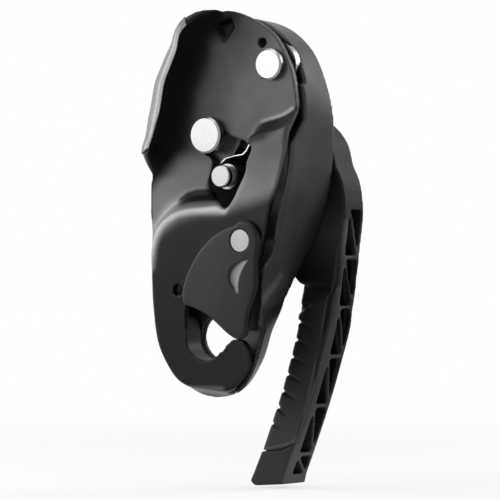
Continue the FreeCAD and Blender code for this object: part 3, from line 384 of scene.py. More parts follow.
@dataclass(frozen=True)
class Moulding:
    """Moulded nylon or rubber with a spark-eroded grain."""

    name: str
    colour: Colour = (0.012, 0.0122, 0.013)
    pale: Colour = (0.018, 0.0184, 0.0195)
    painted: bool = False
    flow: float = 60.0
    flow_stretch: Triple = (1.0, 1.0, 0.35)
    edges: Span = (0.54, 0.66)
    wear_and_highlight: float = 3.2
    rough: Span = (0.42, 0.52)
    specular: float = 0.38
    grain: float = 2600.0
    grain_depth: float = 0.00002
    fine_scale: float = 3.1
    fine_depth: float = 0.3
    sheen: float = 0.0
    sheen_rough: float = 0.5

    def build(self) -> bpy.types.Material:
        """Makes the material, with its grain, flow marks and paler worn edges.

        Returns:
            The material.
        """
        shader = Shader(self.name)
        flow = shader.noise(self.flow, 3.0, self.flow_stretch)
        if self.painted:
            tone = shader.painted_tone(flow)
        else:
            tone = shader.blend(flow, self.colour, self.pale)
        paler = tuple(self.wear_and_highlight * value for value in self.pale)
        coarse = shader.bump(shader.noise(self.grain, 3.0), self.grain_depth)
        finer = shader.noise(self.grain * self.fine_scale, 2.0)
        shader.set(
            Base_Color=shader.blend(shader.worn_edges(*self.edges), tone, paler),
            Roughness=shader.span(flow, *self.rough),
            Normal=shader.bump(finer, self.grain_depth * self.fine_depth, coarse),
            Specular_IOR_Level=self.specular,
        )
        if self.sheen:
            shader.set(Sheen_Weight=self.sheen, Sheen_Roughness=self.sheen_rough)
        return shader.material


@dataclass(frozen=True)
class TurnedSteel:
    """Turned and polished steel, with fine rings about its own axis."""

    name: str
    centre: Span
    colour: Colour = (0.31, 0.31, 0.307)
    smears: float = 110.0
    smeared: float = 0.95
    rough: Span = (0.25, 0.31)
    pitch: float = 0.00022
    depth: float = 0.0000013
    nicks: float = 900.0
    nick_depth: float = 0.5

    def build(self) -> bpy.types.Material:
        """Makes the material, with turning marks and faint smears.

        Returns:
            The material.
        """
        shader = Shader(self.name)
        smear = shader.noise(self.smears, 2.0)
        dull = tuple(self.smeared * value for value in self.colour)
        marks = shader.bump(shader.rings(self.centre, self.pitch), self.depth)
        nicks = shader.noise(self.nicks, 2.0)
        shader.set(
            Base_Color=shader.blend(smear, dull, self.colour),
            Roughness=shader.span(smear, *self.rough),
            Normal=shader.bump(nicks, self.depth * self.nick_depth, marks),
            Metallic=1.0,
        )
        return shader.material


@dataclass(frozen=True)
class RubbedStrip:
    """The dull stainless of the wear strip, whose tone attribute holds dark lines of painted groove
    shade.
    """

    name: str = "strip_stainless"
    streaks: float = 1500.0
    streak: Triple = (1.0, 1.0, 0.08)
    clouds: float = 180.0
    rough: Span = (0.32, 0.46)
    depth: float = 0.000006

    def build(self) -> bpy.types.Material:
        """Makes the material, with streaks up the strip and a mottled gloss.

        Returns:
            The material.
        """
        shader = Shader(self.name)
        streaks = shader.noise(self.streaks, 4.0, self.streak)
        shader.set(
            Base_Color=shader.painted_tone(streaks),
            Roughness=shader.span(shader.noise(self.clouds, 4.0), *self.rough),
            Normal=shader.bump(streaks, self.depth),
            Metallic=1.0,
        )
        return shader.material


@dataclass(frozen=True)
class DrawnSteel:
    """Rolled, ground or drawn metal, with streaks along one direction."""

    name: str
    colour: Colour = (0.40, 0.40, 0.405)
    pale: Colour = (0.52, 0.52, 0.52)
    rough: Span = (0.24, 0.38)
    streak: Triple = (1.0, 1.0, 0.06)
    streaks: float = 2600.0
    clouds: float = 140.0
    depth: float = 0.000005

    def build(self) -> bpy.types.Material:
        """Makes the material, with streaks in tone, gloss and height.

        Returns:
            The material.
        """
        shader = Shader(self.name)
        streaks = shader.noise(self.streaks, 4.0, self.streak)
        shader.set(
            Base_Color=shader.blend(streaks, self.colour, self.pale),
            Roughness=shader.span(shader.noise(self.clouds, 4.0), *self.rough),
            Normal=shader.bump(streaks, self.depth),
            Metallic=1.0,
        )
        return shader.material


Finish = Anodising | Moulding | TurnedSteel | RubbedStrip | DrawnSteel


# Mesh helpers


def alone(obj: bpy.types.Object) -> None:
    """Selects one object and nothing else, and makes it active.

    Args:
        obj: the object.
    """
    bpy.ops.object.select_all(action="DESELECT")
    obj.select_set(True)
    bpy.context.view_layer.objects.active = obj


def apply_modifier(obj: bpy.types.Object, kind: str, **settings: object) -> None:
    """Adds a modifier and applies it.

    Args:
        obj: the piece.
        kind: the modifier's type.
        settings: its properties.
    """
    alone(obj)
    modifier = obj.modifiers.new(kind.title(), kind)
    for name, value in settings.items():
        setattr(modifier, name, value)
    bpy.ops.object.modifier_apply(modifier=modifier.name)


def points_of(obj: bpy.types.Object) -> np.ndarray:
    """Reads the vertices of a mesh.

    Args:
        obj: the piece.

    Returns:
        Rows of X, Y and Z, in millimetres.
    """
    flat = np.empty(len(obj.data.vertices) * 3)
    obj.data.vertices.foreach_get("co", flat)
    return flat.reshape(-1, 3) / MM


def put_points(obj: bpy.types.Object, points: np.ndarray) -> None:
    """Writes the vertices of a mesh back, from millimetres."""
    obj.data.vertices.foreach_set("co", (points * MM).ravel())
    obj.data.update()


def normals_of(obj: bpy.types.Object) -> np.ndarray:
    """Reads the vertex normals of a mesh.

    Args:
        obj: the piece.

    Returns:
        Rows of X, Y and Z.
    """
    flat = np.empty(len(obj.data.vertices) * 3)
    obj.data.vertex_normals.foreach_get("vector", flat)
    return flat.reshape(-1, 3)


def smooth_step(values: np.ndarray, start: float, end: float) -> np.ndarray:
    """0 before start, 1 after end, with a soft turn between."""
    share = np.clip((values - start) / (end - start), 0.0, 1.0)
    return share * share * (3.0 - 2.0 * share)


def fade_out(values: np.ndarray, start: float, end: float) -> np.ndarray:
    """1 before start, 0 after end, with a soft turn between."""
    return 1.0 - smooth_step(values, start, end)


def read_off(places: np.ndarray, table: Line | np.ndarray) -> np.ndarray:
    """The value that a table of places and values gives at each place, straight between rows."""
    keys, values = np.array(table).T
    return np.interp(places, keys, values)


def draw_to(tone: np.ndarray, grey: float, share: np.ndarray | float) -> np.ndarray:
    """Greys drawn to another grey by a share of the way at each point."""
    return tone + (grey - tone) * share


def distance_to_line(points: np.ndarray, line: Line, axes: tuple[int, int] = (0, 2)) -> np.ndarray:
    """Measures how far each point is from a polyline.

    Args:
        points: rows of X, Y and Z.
        line: the polyline's corners in the plane.
        axes: the columns that make the plane, X and Z unless told.

    Returns:
        One distance for each point, in millimetres.
    """
    flat = points[:, axes]
    corners = np.array(line)
    best = np.full(len(flat), FAR_AWAY)
    for start, end in zip(corners[:-1], corners[1:]):
        along = end - start
        share = np.clip(((flat - start) @ along) / (along @ along), 0.0, 1.0)
        near = start + share[:, None] * along
        best = np.minimum(best, np.linalg.norm(flat - near, axis=1))
    return best


def renew_mesh(obj: bpy.types.Object, voxel: float, passes: int) -> None:
    """Covers a piece with new even facets and smooths them.

    Args:
        obj: the piece.
        voxel: the size of the new facets, in metres.
        passes: how often the surface is smoothed.
    """
    apply_modifier(obj, "REMESH", mode="VOXEL", voxel_size=voxel, use_smooth_shade=True)
    apply_modifier(obj, "SMOOTH", factor=SMOOTHING, iterations=passes)


def rounded_copy(node: str, name: str, voxel: float, passes: int) -> bpy.types.Object:
    """Copies a CAD node and softens its sharp edges all round.

    Args:
        node: the CAD node.
        name: the new piece's name.
        voxel: the size of the new facets, in metres.
        passes: how often the surface is smoothed.

    Returns:
        The new piece, still riding on nothing.
    """
    obj = bpy.data.objects.new(name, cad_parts[node].data.copy())
    bpy.context.collection.objects.link(obj)
    obj.data.materials.clear()
    alone(obj)
    bpy.ops.object.mode_set(mode="EDIT")
    bpy.ops.mesh.select_all(action="SELECT")
    bpy.ops.mesh.remove_doubles(threshold=MERGE_DISTANCE)
    bpy.ops.object.mode_set(mode="OBJECT")
    renew_mesh(obj, voxel, passes)
    return obj


def store_tone(obj: bpy.types.Object, tone: np.ndarray) -> None:
    """Keeps one grey for each point of a piece, in the attribute that its finish reads."""
    layer = obj.data.attributes.new(TONE, "FLOAT", "POINT")
    layer.data.foreach_set("value", tone.astype(np.float32))


def finish_piece(obj: bpy.types.Object, body: Body, material: bpy.types.Material,
                 replaced: Iterable[str]) -> None:
    """Dresses a piece and says where it belongs.

    Args:
        obj: the piece.
        body: the body that it rides on.
        material: its finish.
        replaced: the CAD nodes that the piece stands for.
    """
    obj.data.materials.clear()
    obj.data.materials.append(material)
    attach(obj, body.value)
    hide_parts(*replaced)
    log.info("%s: %d faces on %s", obj.name, len(obj.data.polygons), body.value)


@dataclass(frozen=True)
class Fillet:
    """A line across a piece along which its surface is smoothed into a generous fillet.

    The surface is smoothed in full up to a near distance, and not at all beyond a far one.
    """

    line: Line
    near: float
    far: float
    passes: int
    least: float = 0.01

    def press(self, obj: bpy.types.Object) -> None:
        """Smooths a piece along the line.

        Args:
            obj: the piece.
        """
        weight = fade_out(distance_to_line(points_of(obj), self.line), self.near, self.far)
        group = obj.vertex_groups.new(name="softened")
        for number in np.nonzero(weight > self.least)[0]:
            group.add([int(number)], float(weight[number]), "REPLACE")
        apply_modifier(obj, "SMOOTH", factor=SMOOTHING, iterations=self.passes,
                       vertex_group=group.name)
        obj.vertex_groups.clear()


@dataclass(frozen=True)
class PaintedHighlight:
    """A line along which a highlight is painted into the coat as a paler grey, fading out over its
    reach.
    """

    line: Line
    grey: float
    reach: float
    core: float = 0.1
    turn: float = 0.01

    def wear(self, points: np.ndarray, tone: np.ndarray) -> np.ndarray:
        """Paints the highlight into the greys near the line, and leaves those that are paler
        already.

        Args:
            points: the piece's points.
            tone: their greys.

        Returns:
            The greys with the painted highlight.
        """
        beside = distance_to_line(points, self.line)
        near = fade_out(beside, self.core * self.reach, self.reach)
        return draw_to(tone, self.grey, near * smooth_step(self.grey - tone, 0.0, self.turn))


# Sub-assemblies


@dataclass
class FrontPlate:
    """The pressed front side plate with its curled lip and hook, and the wear strip on the lip."""

    facet: float = 0.00050
    passes: int = 4

    # Pressed lines
    lip_crest: Line = (
        (-29.4, 62.0), (-26.4, 70.6), (-22.7, 76.5), (-21.0, 82.5), (-19.4, 89.3), (-17.9, 97.0),
        (-16.0, 101.5), (-13.4, 106.8), (-11.6, 111.0), (-11.0, 115.6), (-8.6, 119.6),
        (-3.8, 122.6), (2.4, 124.8),
    )
    lip_foot: Line = (
        (-21.0, 62.0), (-18.6, 70.6), (-15.0, 76.5), (-13.4, 82.5), (-12.0, 89.0), (-10.6, 96.0),
        (-8.8, 100.2), (-6.4, 104.4), (-4.6, 108.4), (-4.0, 112.0), (-2.6, 116.0), (1.6, 118.6),
    )
    step_line: Line = ((21.4, 76.5), (26.4, 77.6), (32.0, 78.5), (38.0, 80.0))
    crest_line: Line = (
        (-23.6, 40.1), (-20.8, 43.9), (-16.6, 46.8), (-12.4, 48.5), (-8.0, 49.1), (-2.0, 49.5),
        (4.8, 50.3), (12.0, 60.0),
    )
    side_line: Line = (
        (-23.6, 40.1), (-25.4, 34.4), (-25.2, 26.0), (-24.8, 15.9), (-24.0, 8.0), (-21.8, -3.0),
        (-17.6, -10.8), (-13.2, -16.0), (-8.4, -18.5), (0.0, -19.5), (10.2, -20.2), (14.2, -19.3),
    )
    fillets: tuple[Fillet, ...] = (
        Fillet(lip_foot, 4.5, 7.5, 80), Fillet(lip_crest, 2.0, 4.0, 10),
        Fillet(step_line, 4.0, 9.0, 50), Fillet(crest_line, 5.5, 10.5, 110),
        Fillet(side_line, 2.5, 6.0, 20),
    )

    # The recess in the upper flat, with painted shade in and around it
    recess: Line = ((0.6, 119.6), (7.2, 121.6), (8.6, 118.4), (4.4, 113.2))
    recess_depth: float = 2.0
    recess_edge: Span = (-0.9, 1.1)
    recess_tone: float = 0.12
    recess_reach: Span = (2.2, 4.4)
    front_normal: float = -0.2
    front_level: float = -3.5

    # The coat's painted light and shade: painted shade in the rope channel, painted light on the
    # flat beside it, and the darker body below the fold
    channel_tones: Line = (
        (0.0, 0.0015), (5.0, 0.0015), (7.3, 0.0042), (10.0, 0.0115), (12.9, 0.022), (18.5, 0.031),
        (24.0, 0.041), (30.0, 0.060), (60.0, 0.068),
    )
    channel_foot: Line = ((-31.0, 57.8), (-17.4, 70.4), (0.0, 71.0))
    channel_fade: Span = (-5.0, 2.6)
    lip_margin: float = 0.6
    lip_back_tone: float = 0.0015
    flat_tones: Line = (
        (46.0, 0.125), (50.0, 0.115), (54.0, 0.100), (58.0, 0.088), (62.0, 0.075), (66.0, 0.064),
        (71.0, 0.056), (80.0, 0.064),
    )
    flank_gain: float = 0.25
    flank_fade: Span = (8.0, 16.0)
    fold_line: Line = (
        (-32.0, 34.0), (-26.0, 35.0), (-22.0, 40.0), (-18.0, 44.0), (-12.0, 47.5), (-2.0, 50.0),
        (5.0, 50.0), (14.0, 52.0), (30.0, 56.0), (45.0, 58.0),
    )
    fold_fade: Span = (-6.0, 2.0)
    body_tone: float = 0.0152
    back_tone: float = 0.02
    back_normal: float = 0.3

    # Painted shade in its hollows: the valley over the fold and the ramp beside the cut-out
    valley_line: Line = ((-14.6, 51.6), (-12.0, 53.4), (-8.0, 54.3), (-2.0, 54.5), (7.0, 54.5))
    valley_tone: float = 0.05
    valley_reach: Span = (1.8, 3.3)
    ramp_foot: Line = (
        (20.0, 74.4), (22.6, 81.4), (26.5, 82.5), (31.0, 83.6), (35.8, 86.2), (38.5, 88.4),
    )
    ramp_crown: Line = ((20.3, 73.0), (27.0, 74.2), (31.1, 76.2), (35.2, 77.9), (38.5, 79.0))
    ramp_tones: Line = ((21.0, 0.13), (27.0, 0.20), (36.0, 0.42))
    crown_fade: Span = (-0.8, 2.4)
    foot_fade: Span = (-0.5, 0.7)
    ramp_start: Span = (19.4, 21.0)

    # Painted highlights: shoulder, brow, the ramp's ridge, and the heel below the hook
    highlights: tuple[PaintedHighlight, ...] = (
        PaintedHighlight(((-27.5, 28.0), (-26.6, 34.0), (-25.0, 40.5), (-21.6, 45.6), (-17.5, 48.4)), 0.26, 5.5),
        PaintedHighlight(((-17.0, 47.2), (-12.0, 48.7), (-6.0, 49.4), (8.6, 49.4)), 0.22, 3.6),
        PaintedHighlight(((22.4, 82.1), (26.5, 83.1), (31.0, 84.3), (33.5, 85.4), (35.8, 87.0)), 0.14, 1.3),
    )
    heel_left: Span = (-10.5, -7.5)
    heel_right: Span = (7.5, 10.5)
    heel_height: Span = (-19.2, -17.8)
    heel_tone: float = 0.085

    # The wear strip
    strip_facet: float = 0.00032
    strip_passes: int = 3
    strip_tone: float = 0.19
    strip_foot: Span = (76.6, 88.0)
    strip_run: float = 8.4
    strip_slant: float = 0.55
    strip_width: float = 7.0
    strip_reach: float = -32.3
    strip_least: float = 0.002
    strip_hold: float = 4.0
    # Dark lines of painted groove shade: distance from the crest, width and depth
    groove_shade_lines: tuple[Triple, ...] = ((1.3, 0.5, 0.45), (3.6, 0.45, 0.35), (7.6, 0.8, 0.30))

    def build(self, plate_finish: bpy.types.Material, strip_finish: bpy.types.Material) -> None:
        """Builds and dresses both pieces.

        Args:
            plate_finish: the plate's material.
            strip_finish: the wear strip's material.
        """
        plate = rounded_copy("moving_side_plate", "pressed_front_plate", self.facet, self.passes)
        for fillet in self.fillets:
            fillet.press(plate)
        self.sink_recess(plate)
        store_tone(plate, self.plate_light_and_shade(plate))
        finish_piece(plate, Body.PLATE, plate_finish, ["moving_side_plate"])
        strip = rounded_copy("lip_wear_strip", "rope_wear_strip", self.strip_facet,
                             self.strip_passes)
        self.lengthen_strip(strip, plate)
        store_tone(strip, self.strip_tones(strip))
        finish_piece(strip, Body.PLATE, strip_finish, ["lip_wear_strip"])

    def sink_recess(self, plate: bpy.types.Object) -> None:
        """Presses the recess into the upper flat.

        Args:
            plate: the plate.
        """
        points = points_of(plate)
        corners = np.array(self.recess)
        inside = np.full(len(points), FAR_AWAY)
        for start, end in zip(corners, np.roll(corners, -1, axis=0)):
            along = (end - start) / np.linalg.norm(end - start)
            away = points[:, (0, 2)] - start
            inside = np.minimum(inside, along[1] * away[:, 0] - along[0] * away[:, 1])
        front = (normals_of(plate)[:, 1] < self.front_normal) & (points[:, 1] < self.front_level)
        drop = smooth_step(inside, *self.recess_edge) * self.recess_depth
        points[:, 1] += np.where(front, drop, 0.0)
        put_points(plate, points)

    def plate_light_and_shade(self, plate: bpy.types.Object) -> np.ndarray:
        """Works out the plate's greys, with light and shade painted into the coat.

        Args:
            plate: the pressed plate.

        Returns:
            One grey for each point.
        """
        points = points_of(plate)
        tone = self.coat_light_and_shade(points) * self.hollows(points)
        # Painted highlights on the shoulder, the brow and the ramp's ridge
        for rub in self.highlights:
            tone = rub.wear(points, tone)
        across, up = points[:, 0], points[:, 2]
        # Painted highlight on the heel below the hook
        heel = smooth_step(across, *self.heel_left) * fade_out(across, *self.heel_right)
        tone = draw_to(tone, self.heel_tone, heel * fade_out(up, *self.heel_height))
        # Painted shade in and around the recess
        middle = np.array(self.recess).mean(axis=0)
        well = np.hypot(across - middle[0], up - middle[1])
        tone *= draw_to(smooth_step(well, *self.recess_reach), 1.0, self.recess_tone)
        return np.where(normals_of(plate)[:, 1] > self.back_normal, self.back_tone, tone)

    def coat_light_and_shade(self, points: np.ndarray) -> np.ndarray:
        """Painted shade in the channel, painted light on the flat, and the darker body below the
        fold.

        Args:
            points: the plate's points.

        Returns:
            One grey for each point.
        """
        across, up = points[:, 0], points[:, 2]
        crest = read_off(up, np.array(self.lip_crest)[:, ::-1])
        outside = across < crest - self.lip_margin
        # Painted shade in the rope channel, darkest near the lip's crest
        channel = read_off(distance_to_line(points, self.lip_crest), self.channel_tones)
        channel = np.where(outside, self.lip_back_tone, channel)
        share = smooth_step(up - read_off(across, self.channel_foot), *self.channel_fade)
        share = np.where(outside, 1.0, share)
        # Painted light on the flat, paler toward the fold and to the right
        flank = 1.0 + self.flank_gain * smooth_step(across, *self.flank_fade)
        tone = channel * share + read_off(up, self.flat_tones) * flank * (1.0 - share)
        # The body below the fold keeps a darker grey, without the flat's painted light
        below = fade_out(up - read_off(across, self.fold_line), *self.fold_fade)
        return draw_to(tone, self.body_tone, below)

    def hollows(self, points: np.ndarray) -> np.ndarray:
        """How much of the coat's grey the painted shade in the valley and on the ramp leaves.

        Args:
            points: the plate's points.

        Returns:
            One share for each point.
        """
        across, up = points[:, 0], points[:, 2]
        beside = distance_to_line(points, self.valley_line)
        valley = draw_to(smooth_step(beside, *self.valley_reach), 1.0, self.valley_tone)
        over = smooth_step(up - read_off(across, self.ramp_crown), *self.crown_fade)
        under = smooth_step(read_off(across, self.ramp_foot) - up, *self.foot_fade)
        ramp = over * under * smooth_step(across, *self.ramp_start)
        return valley * (1.0 - (1.0 - read_off(across, self.ramp_tones)) * ramp)

    def lengthen_strip(self, strip: bpy.types.Object, plate: bpy.types.Object) -> None:
        """Draws the strip's lower end down the lip, furthest at its outer edge.

        Args:
            strip: the wear strip, which then ends on a slant.
            plate: the finished plate, which the strip keeps its distance from.
        """
        surface = BVHTree.FromObject(plate, bpy.context.evaluated_depsgraph_get())
        points = points_of(strip)
        share = fade_out(points[:, 2], *self.strip_foot)
        beside = distance_to_line(points, self.lip_crest) / self.strip_width
        slant = self.strip_slant + (1.0 - self.strip_slant) * np.clip(beside, 0.0, 1.0)
        (low_x, low_z), (high_x, high_z) = self.lip_crest[1:3]
        down = np.array((low_x - high_x, 0.0, low_z - high_z))
        down /= np.linalg.norm(down)
        for number in np.nonzero(share > self.strip_least)[0]:
            start = Vector(points[number] * MM)
            near, normal, _, _ = surface.find_nearest(start)
            height = max((start - near).dot(normal), 0.0)
            run = self.strip_run * share[number] * slant[number]
            moved = Vector((points[number] + down * run) * MM)
            near, normal, _, _ = surface.find_nearest(moved)
            hold = min(share[number] * self.strip_hold, 1.0)
            points[number] = np.array(moved.lerp(near + normal * height, hold)) / MM
        points[:, 0] = np.maximum(points[:, 0], self.strip_reach)
        put_points(strip, points)
        renew_mesh(strip, self.strip_facet, 1)

    def strip_tones(self, strip: bpy.types.Object) -> np.ndarray:
        """Paints dark lines of groove shade along the strip.

        Args:
            strip: the wear strip.

        Returns:
            One grey for each point.
        """
        beside = distance_to_line(points_of(strip), self.lip_crest)
        lines = sum(depth * np.exp(-(((beside - at) / wide) ** 2))
                    for at, wide, depth in self.groove_shade_lines)
        return self.strip_tone * (1.0 - lines)


@dataclass
class RearShell:
    """The deep rear side plate, palest where light falls on its rounded flank."""

    facet: float = 0.00060
    passes: int = 8
    tones: Line = (
        (-24.0, 0.020), (-8.0, 0.024), (4.0, 0.026), (14.0, 0.027), (40.0, 0.031), (56.0, 0.042),
        (68.0, 0.052), (82.0, 0.042), (94.0, 0.034), (108.0, 0.043), (130.0, 0.046),
    )
    front_normal: float = -0.5
    inner_level: float = 2.0
    inner_tone: float = 0.020
    eye_level: float = -3.0
    eye_height: Span = (4.0, 12.0)
    eye_tone: float = 0.062
    flank_normal: Span = (0.25, 0.6)
    heel_height: Span = (9.0, 15.0)
    heel_tone: float = 0.014

    # The crease where web and flank meet, in Y and Z, along which a highlight is painted
    crease: Line = ((-13.4, 13.6), (-10.1, 17.2), (-7.2, 19.4), (-3.4, 23.6))
    crease_reach: Span = (0.2, 2.6)
    crease_normal: Span = (0.1, 0.5)
    crease_tone: float = 0.065

    def build(self, finish: bpy.types.Material) -> None:
        """Builds and dresses the shell.

        Args:
            finish: its material.
        """
        shell = rounded_copy("fixed_side_plate", "rear_shell", self.facet, self.passes)
        store_tone(shell, self.shell_tones(shell))
        finish_piece(shell, Body.REAR, finish, ["fixed_side_plate"])

    def shell_tones(self, shell: bpy.types.Object) -> np.ndarray:
        """Works out the shell's greys, with light and shade painted into the coat.

        Args:
            shell: the shell.

        Returns:
            One grey for each point.
        """
        points, normals = points_of(shell), normals_of(shell)
        across, height = normals[:, 0], points[:, 2]
        front = normals[:, 1] < self.front_normal
        inner = front & (points[:, 1] > self.inner_level)
        # Painted light by height, and a darker grey on the inner front faces
        tone = np.where(inner, self.inner_tone, read_off(height, self.tones))
        eye = front & (points[:, 1] > self.eye_level)
        # Painted light on the eye's floor
        tone = draw_to(tone, self.eye_tone, eye * fade_out(height, *self.eye_height))
        # Painted shade low on the flank
        heel = smooth_step(across, *self.flank_normal) * fade_out(height, *self.heel_height)
        tone = draw_to(tone, self.heel_tone, heel)
        # Painted highlight along the crease
        wear_and_highlight = fade_out(distance_to_line(points, self.crease, (1, 2)), *self.crease_reach)
        return draw_to(tone, self.crease_tone, wear_and_highlight * smooth_step(across, *self.crease_normal))


@dataclass
class HandLever:
    """The ribbed hand lever and the soft pad on its arm."""

    facet: float = 0.00052
    passes: int = 6
    tone: float = 0.010
    shoulder: Fillet = Fillet(
        ((22.0, 6.5), (28.0, 10.0), (34.0, 13.5), (42.0, 17.0), (50.0, 20.0)), 5.0, 11.0, 60)
    lever_shares: Line = (
        (-60.0, 3.1), (-45.0, 2.8), (-30.0, 1.6), (-15.0, 0.8), (10.0, 0.4), (25.0, 0.6),
        (40.0, 2.6), (50.0, 1.2), (60.0, 0.45), (75.0, 0.36),
    )
    rib_share: float = 2.6
    rib_normal: float = 0.6
    rib_top: float = 45.0
    rim_line: Line = ((47.8, 41.0), (46.8, 22.0), (42.2, -4.0), (35.0, -25.0), (28.0, -43.5))
    rim_reach: Span = (0.3, 1.7)
    rim_normal: float = -0.1
    rim_top: float = 41.0
    rim_tone: float = 0.034

    # The web that joins the arm's neck to the hub
    neck_edge: Line = (
        (0.0, 25.4), (8.5, 27.5), (11.5, 29.9), (13.6, 31.4), (19.1, 32.2), (22.6, 30.4),
        (28.1, 27.9),
    )
    neck_web: Line = (
        (3.0, 0.0), (6.3, 0.7), (9.0, 1.1), (11.5, 2.2), (13.5, 2.7), (19.0, 3.5), (21.0, 4.1),
        (22.6, 5.2), (25.0, 6.6), (28.0, 8.0), (32.0, 7.0), (40.0, 0.0),
    )
    neck_width: float = 10.0

    # The bead that frames the pad, with a painted highlight on its crown
    bead_line: Line = (
        (42.5, 33.9), (41.4, 23.8), (39.0, 11.3), (36.4, -3.1), (33.3, -14.6), (30.9, -24.2),
        (28.4, -33.4), (27.0, -37.6), (24.4, -40.2), (20.2, -41.9), (10.8, -43.6),
    )
    bead_reach: Span = (0.15, 0.85)
    bead_normal: float = -0.3
    bead_height: float = 0.32
    bead_tone: float = 0.030
    bead_share: float = 0.8

    # The pad, its finger edge and its slanted notches, which run in from that edge
    pad_facet: float = 0.00036
    pad_shares: Line = ((-44.0, 1.6), (-32.0, 1.2), (-24.0, 0.8), (-5.0, 0.5), (12.0, 0.4))
    pad_sinks_from: Span = (12.0, 21.0)
    pad_sinks_by: float = 2.2
    finger_edge: Fillet = Fillet(
        ((28.6, 18.0), (27.4, 12.8), (26.0, 6.0), (24.2, -0.8), (22.2, -7.4), (20.1, -14.1),
         (18.0, -20.5), (15.0, -26.1), (12.3, -32.6), (9.0, -42.0)), 2.4, 4.2, 80)
    notches: tuple[Line, ...] = (
        ((27.6, 12.8), (34.3, 10.1)), ((26.2, 6.0), (32.8, 3.0)),
        ((24.4, -0.8), (31.2, -3.7)), ((22.4, -7.4), (28.8, -9.8)),
        ((20.3, -14.1), (26.8, -16.8)), ((18.2, -20.5), (24.9, -23.6)),
        ((15.2, -26.1), (21.5, -30.7)), ((12.5, -32.6), (20.2, -36.5)),
    )
    notch_reach: Span = (0.25, 0.95)
    notch_normal: float = 0.3
    notch_depth: float = 0.75
    notch_fade: float = 0.8
    notch_inset: float = 0.45
    notch_mouth: float = 0.3
    notch_tone: float = 0.001
    notch_gain: float = 2.0

    def build(self, lever_finish: bpy.types.Material, pad_finish: bpy.types.Material) -> None:
        """Builds and dresses both mouldings.

        Args:
            lever_finish: the lever's material.
            pad_finish: the pad's material.
        """
        lever = rounded_copy("handle_lever", "ribbed_lever", self.facet, self.passes)
        self.shoulder.press(lever)
        self.fill_neck(lever)
        store_tone(lever, self.raise_bead(lever, self.lever_tones(lever)))
        finish_piece(lever, Body.LEVER, lever_finish, ["handle_lever"])
        pad = rounded_copy("handle_grip_pad", "soft_grip_pad", self.pad_facet, self.passes)
        self.finger_edge.press(pad)
        self.fill_neck(pad)
        store_tone(pad, self.raise_bead(pad, self.press_notches(pad)))
        finish_piece(pad, Body.LEVER, pad_finish, ["handle_grip_pad"])

    def fill_neck(self, obj: bpy.types.Object) -> None:
        """Draws the inner edge of the arm's neck out into a rounded web.

        Args:
            obj: the lever or the pad.
        """
        points = points_of(obj)
        inside = points[:, 0] - read_off(points[:, 2], self.neck_edge)
        web = read_off(points[:, 2], self.neck_web)
        points[:, 0] -= fade_out(inside, 0.0, self.neck_width) * web
        put_points(obj, points)

    def lever_tones(self, lever: bpy.types.Object) -> np.ndarray:
        """Works out the lever's greys, with painted shade on hub and neck and painted light on rims
        and rib ends.

        Args:
            lever: the lever.

        Returns:
            One grey for each point.
        """
        points, normals = points_of(lever), normals_of(lever)
        height = points[:, 2]
        # Painted light and shade along the lever by height
        tone = self.tone * read_off(height, self.lever_shares)
        # Painted light on the rib ends
        ribs = (normals[:, 0] > self.rib_normal) & (height < self.rib_top)
        tone = np.where(ribs, np.maximum(tone, self.tone) * self.rib_share, tone)
        # A painted highlight along the arm's rim
        rim = fade_out(distance_to_line(points, self.rim_line), *self.rim_reach)
        front = (normals[:, 1] < self.rim_normal) & (height < self.rim_top)
        return draw_to(tone, self.rim_tone, rim * front)

    def raise_bead(self, obj: bpy.types.Object, tone: np.ndarray) -> np.ndarray:
        """Raises the fine bead that frames the pad, and paints a highlight on its crown.

        Args:
            obj: the lever or the pad.
            tone: the piece's greys without the bead.

        Returns:
            The greys with the bead.
        """
        points = points_of(obj)
        crown = fade_out(distance_to_line(points, self.bead_line), *self.bead_reach)
        crown *= normals_of(obj)[:, 1] < self.bead_normal
        points[:, 1] -= crown * self.bead_height
        put_points(obj, points)
        # Painted highlight on the bead's crown
        return draw_to(tone, self.bead_tone, crown * self.bead_share)

    def press_notches(self, pad: bpy.types.Object) -> np.ndarray:
        """Presses the finger notches into the pad's edge, and sinks its top into the arm.

        Args:
            pad: the pad.

        Returns:
            The grey of each point, with painted shade in the notches.
        """
        points = points_of(pad)
        front = normals_of(pad)[:, 1] < self.notch_normal
        # Painted light, paler toward the pad's lower end
        tone = self.tone * read_off(points[:, 2], self.pad_shares)
        for start, end in self.notches:
            near = fade_out(distance_to_line(points, (start, end)), *self.notch_reach)
            run = np.clip((points[:, 0] - start[0]) / (end[0] - start[0]), 0.0, 1.0)
            cut = near * (1.0 - self.notch_fade * run)
            points[:, 1] += np.where(front, cut * self.notch_depth, 0.0)
            points[:, 0] += cut * self.notch_inset * fade_out(run, 0.0, self.notch_mouth)
            # Painted shade in the notch
            tone = draw_to(tone, self.notch_tone, np.minimum(cut * self.notch_gain, 1.0))
        points[:, 1] += smooth_step(points[:, 2], *self.pad_sinks_from) * self.pad_sinks_by
        put_points(pad, points)
        return tone


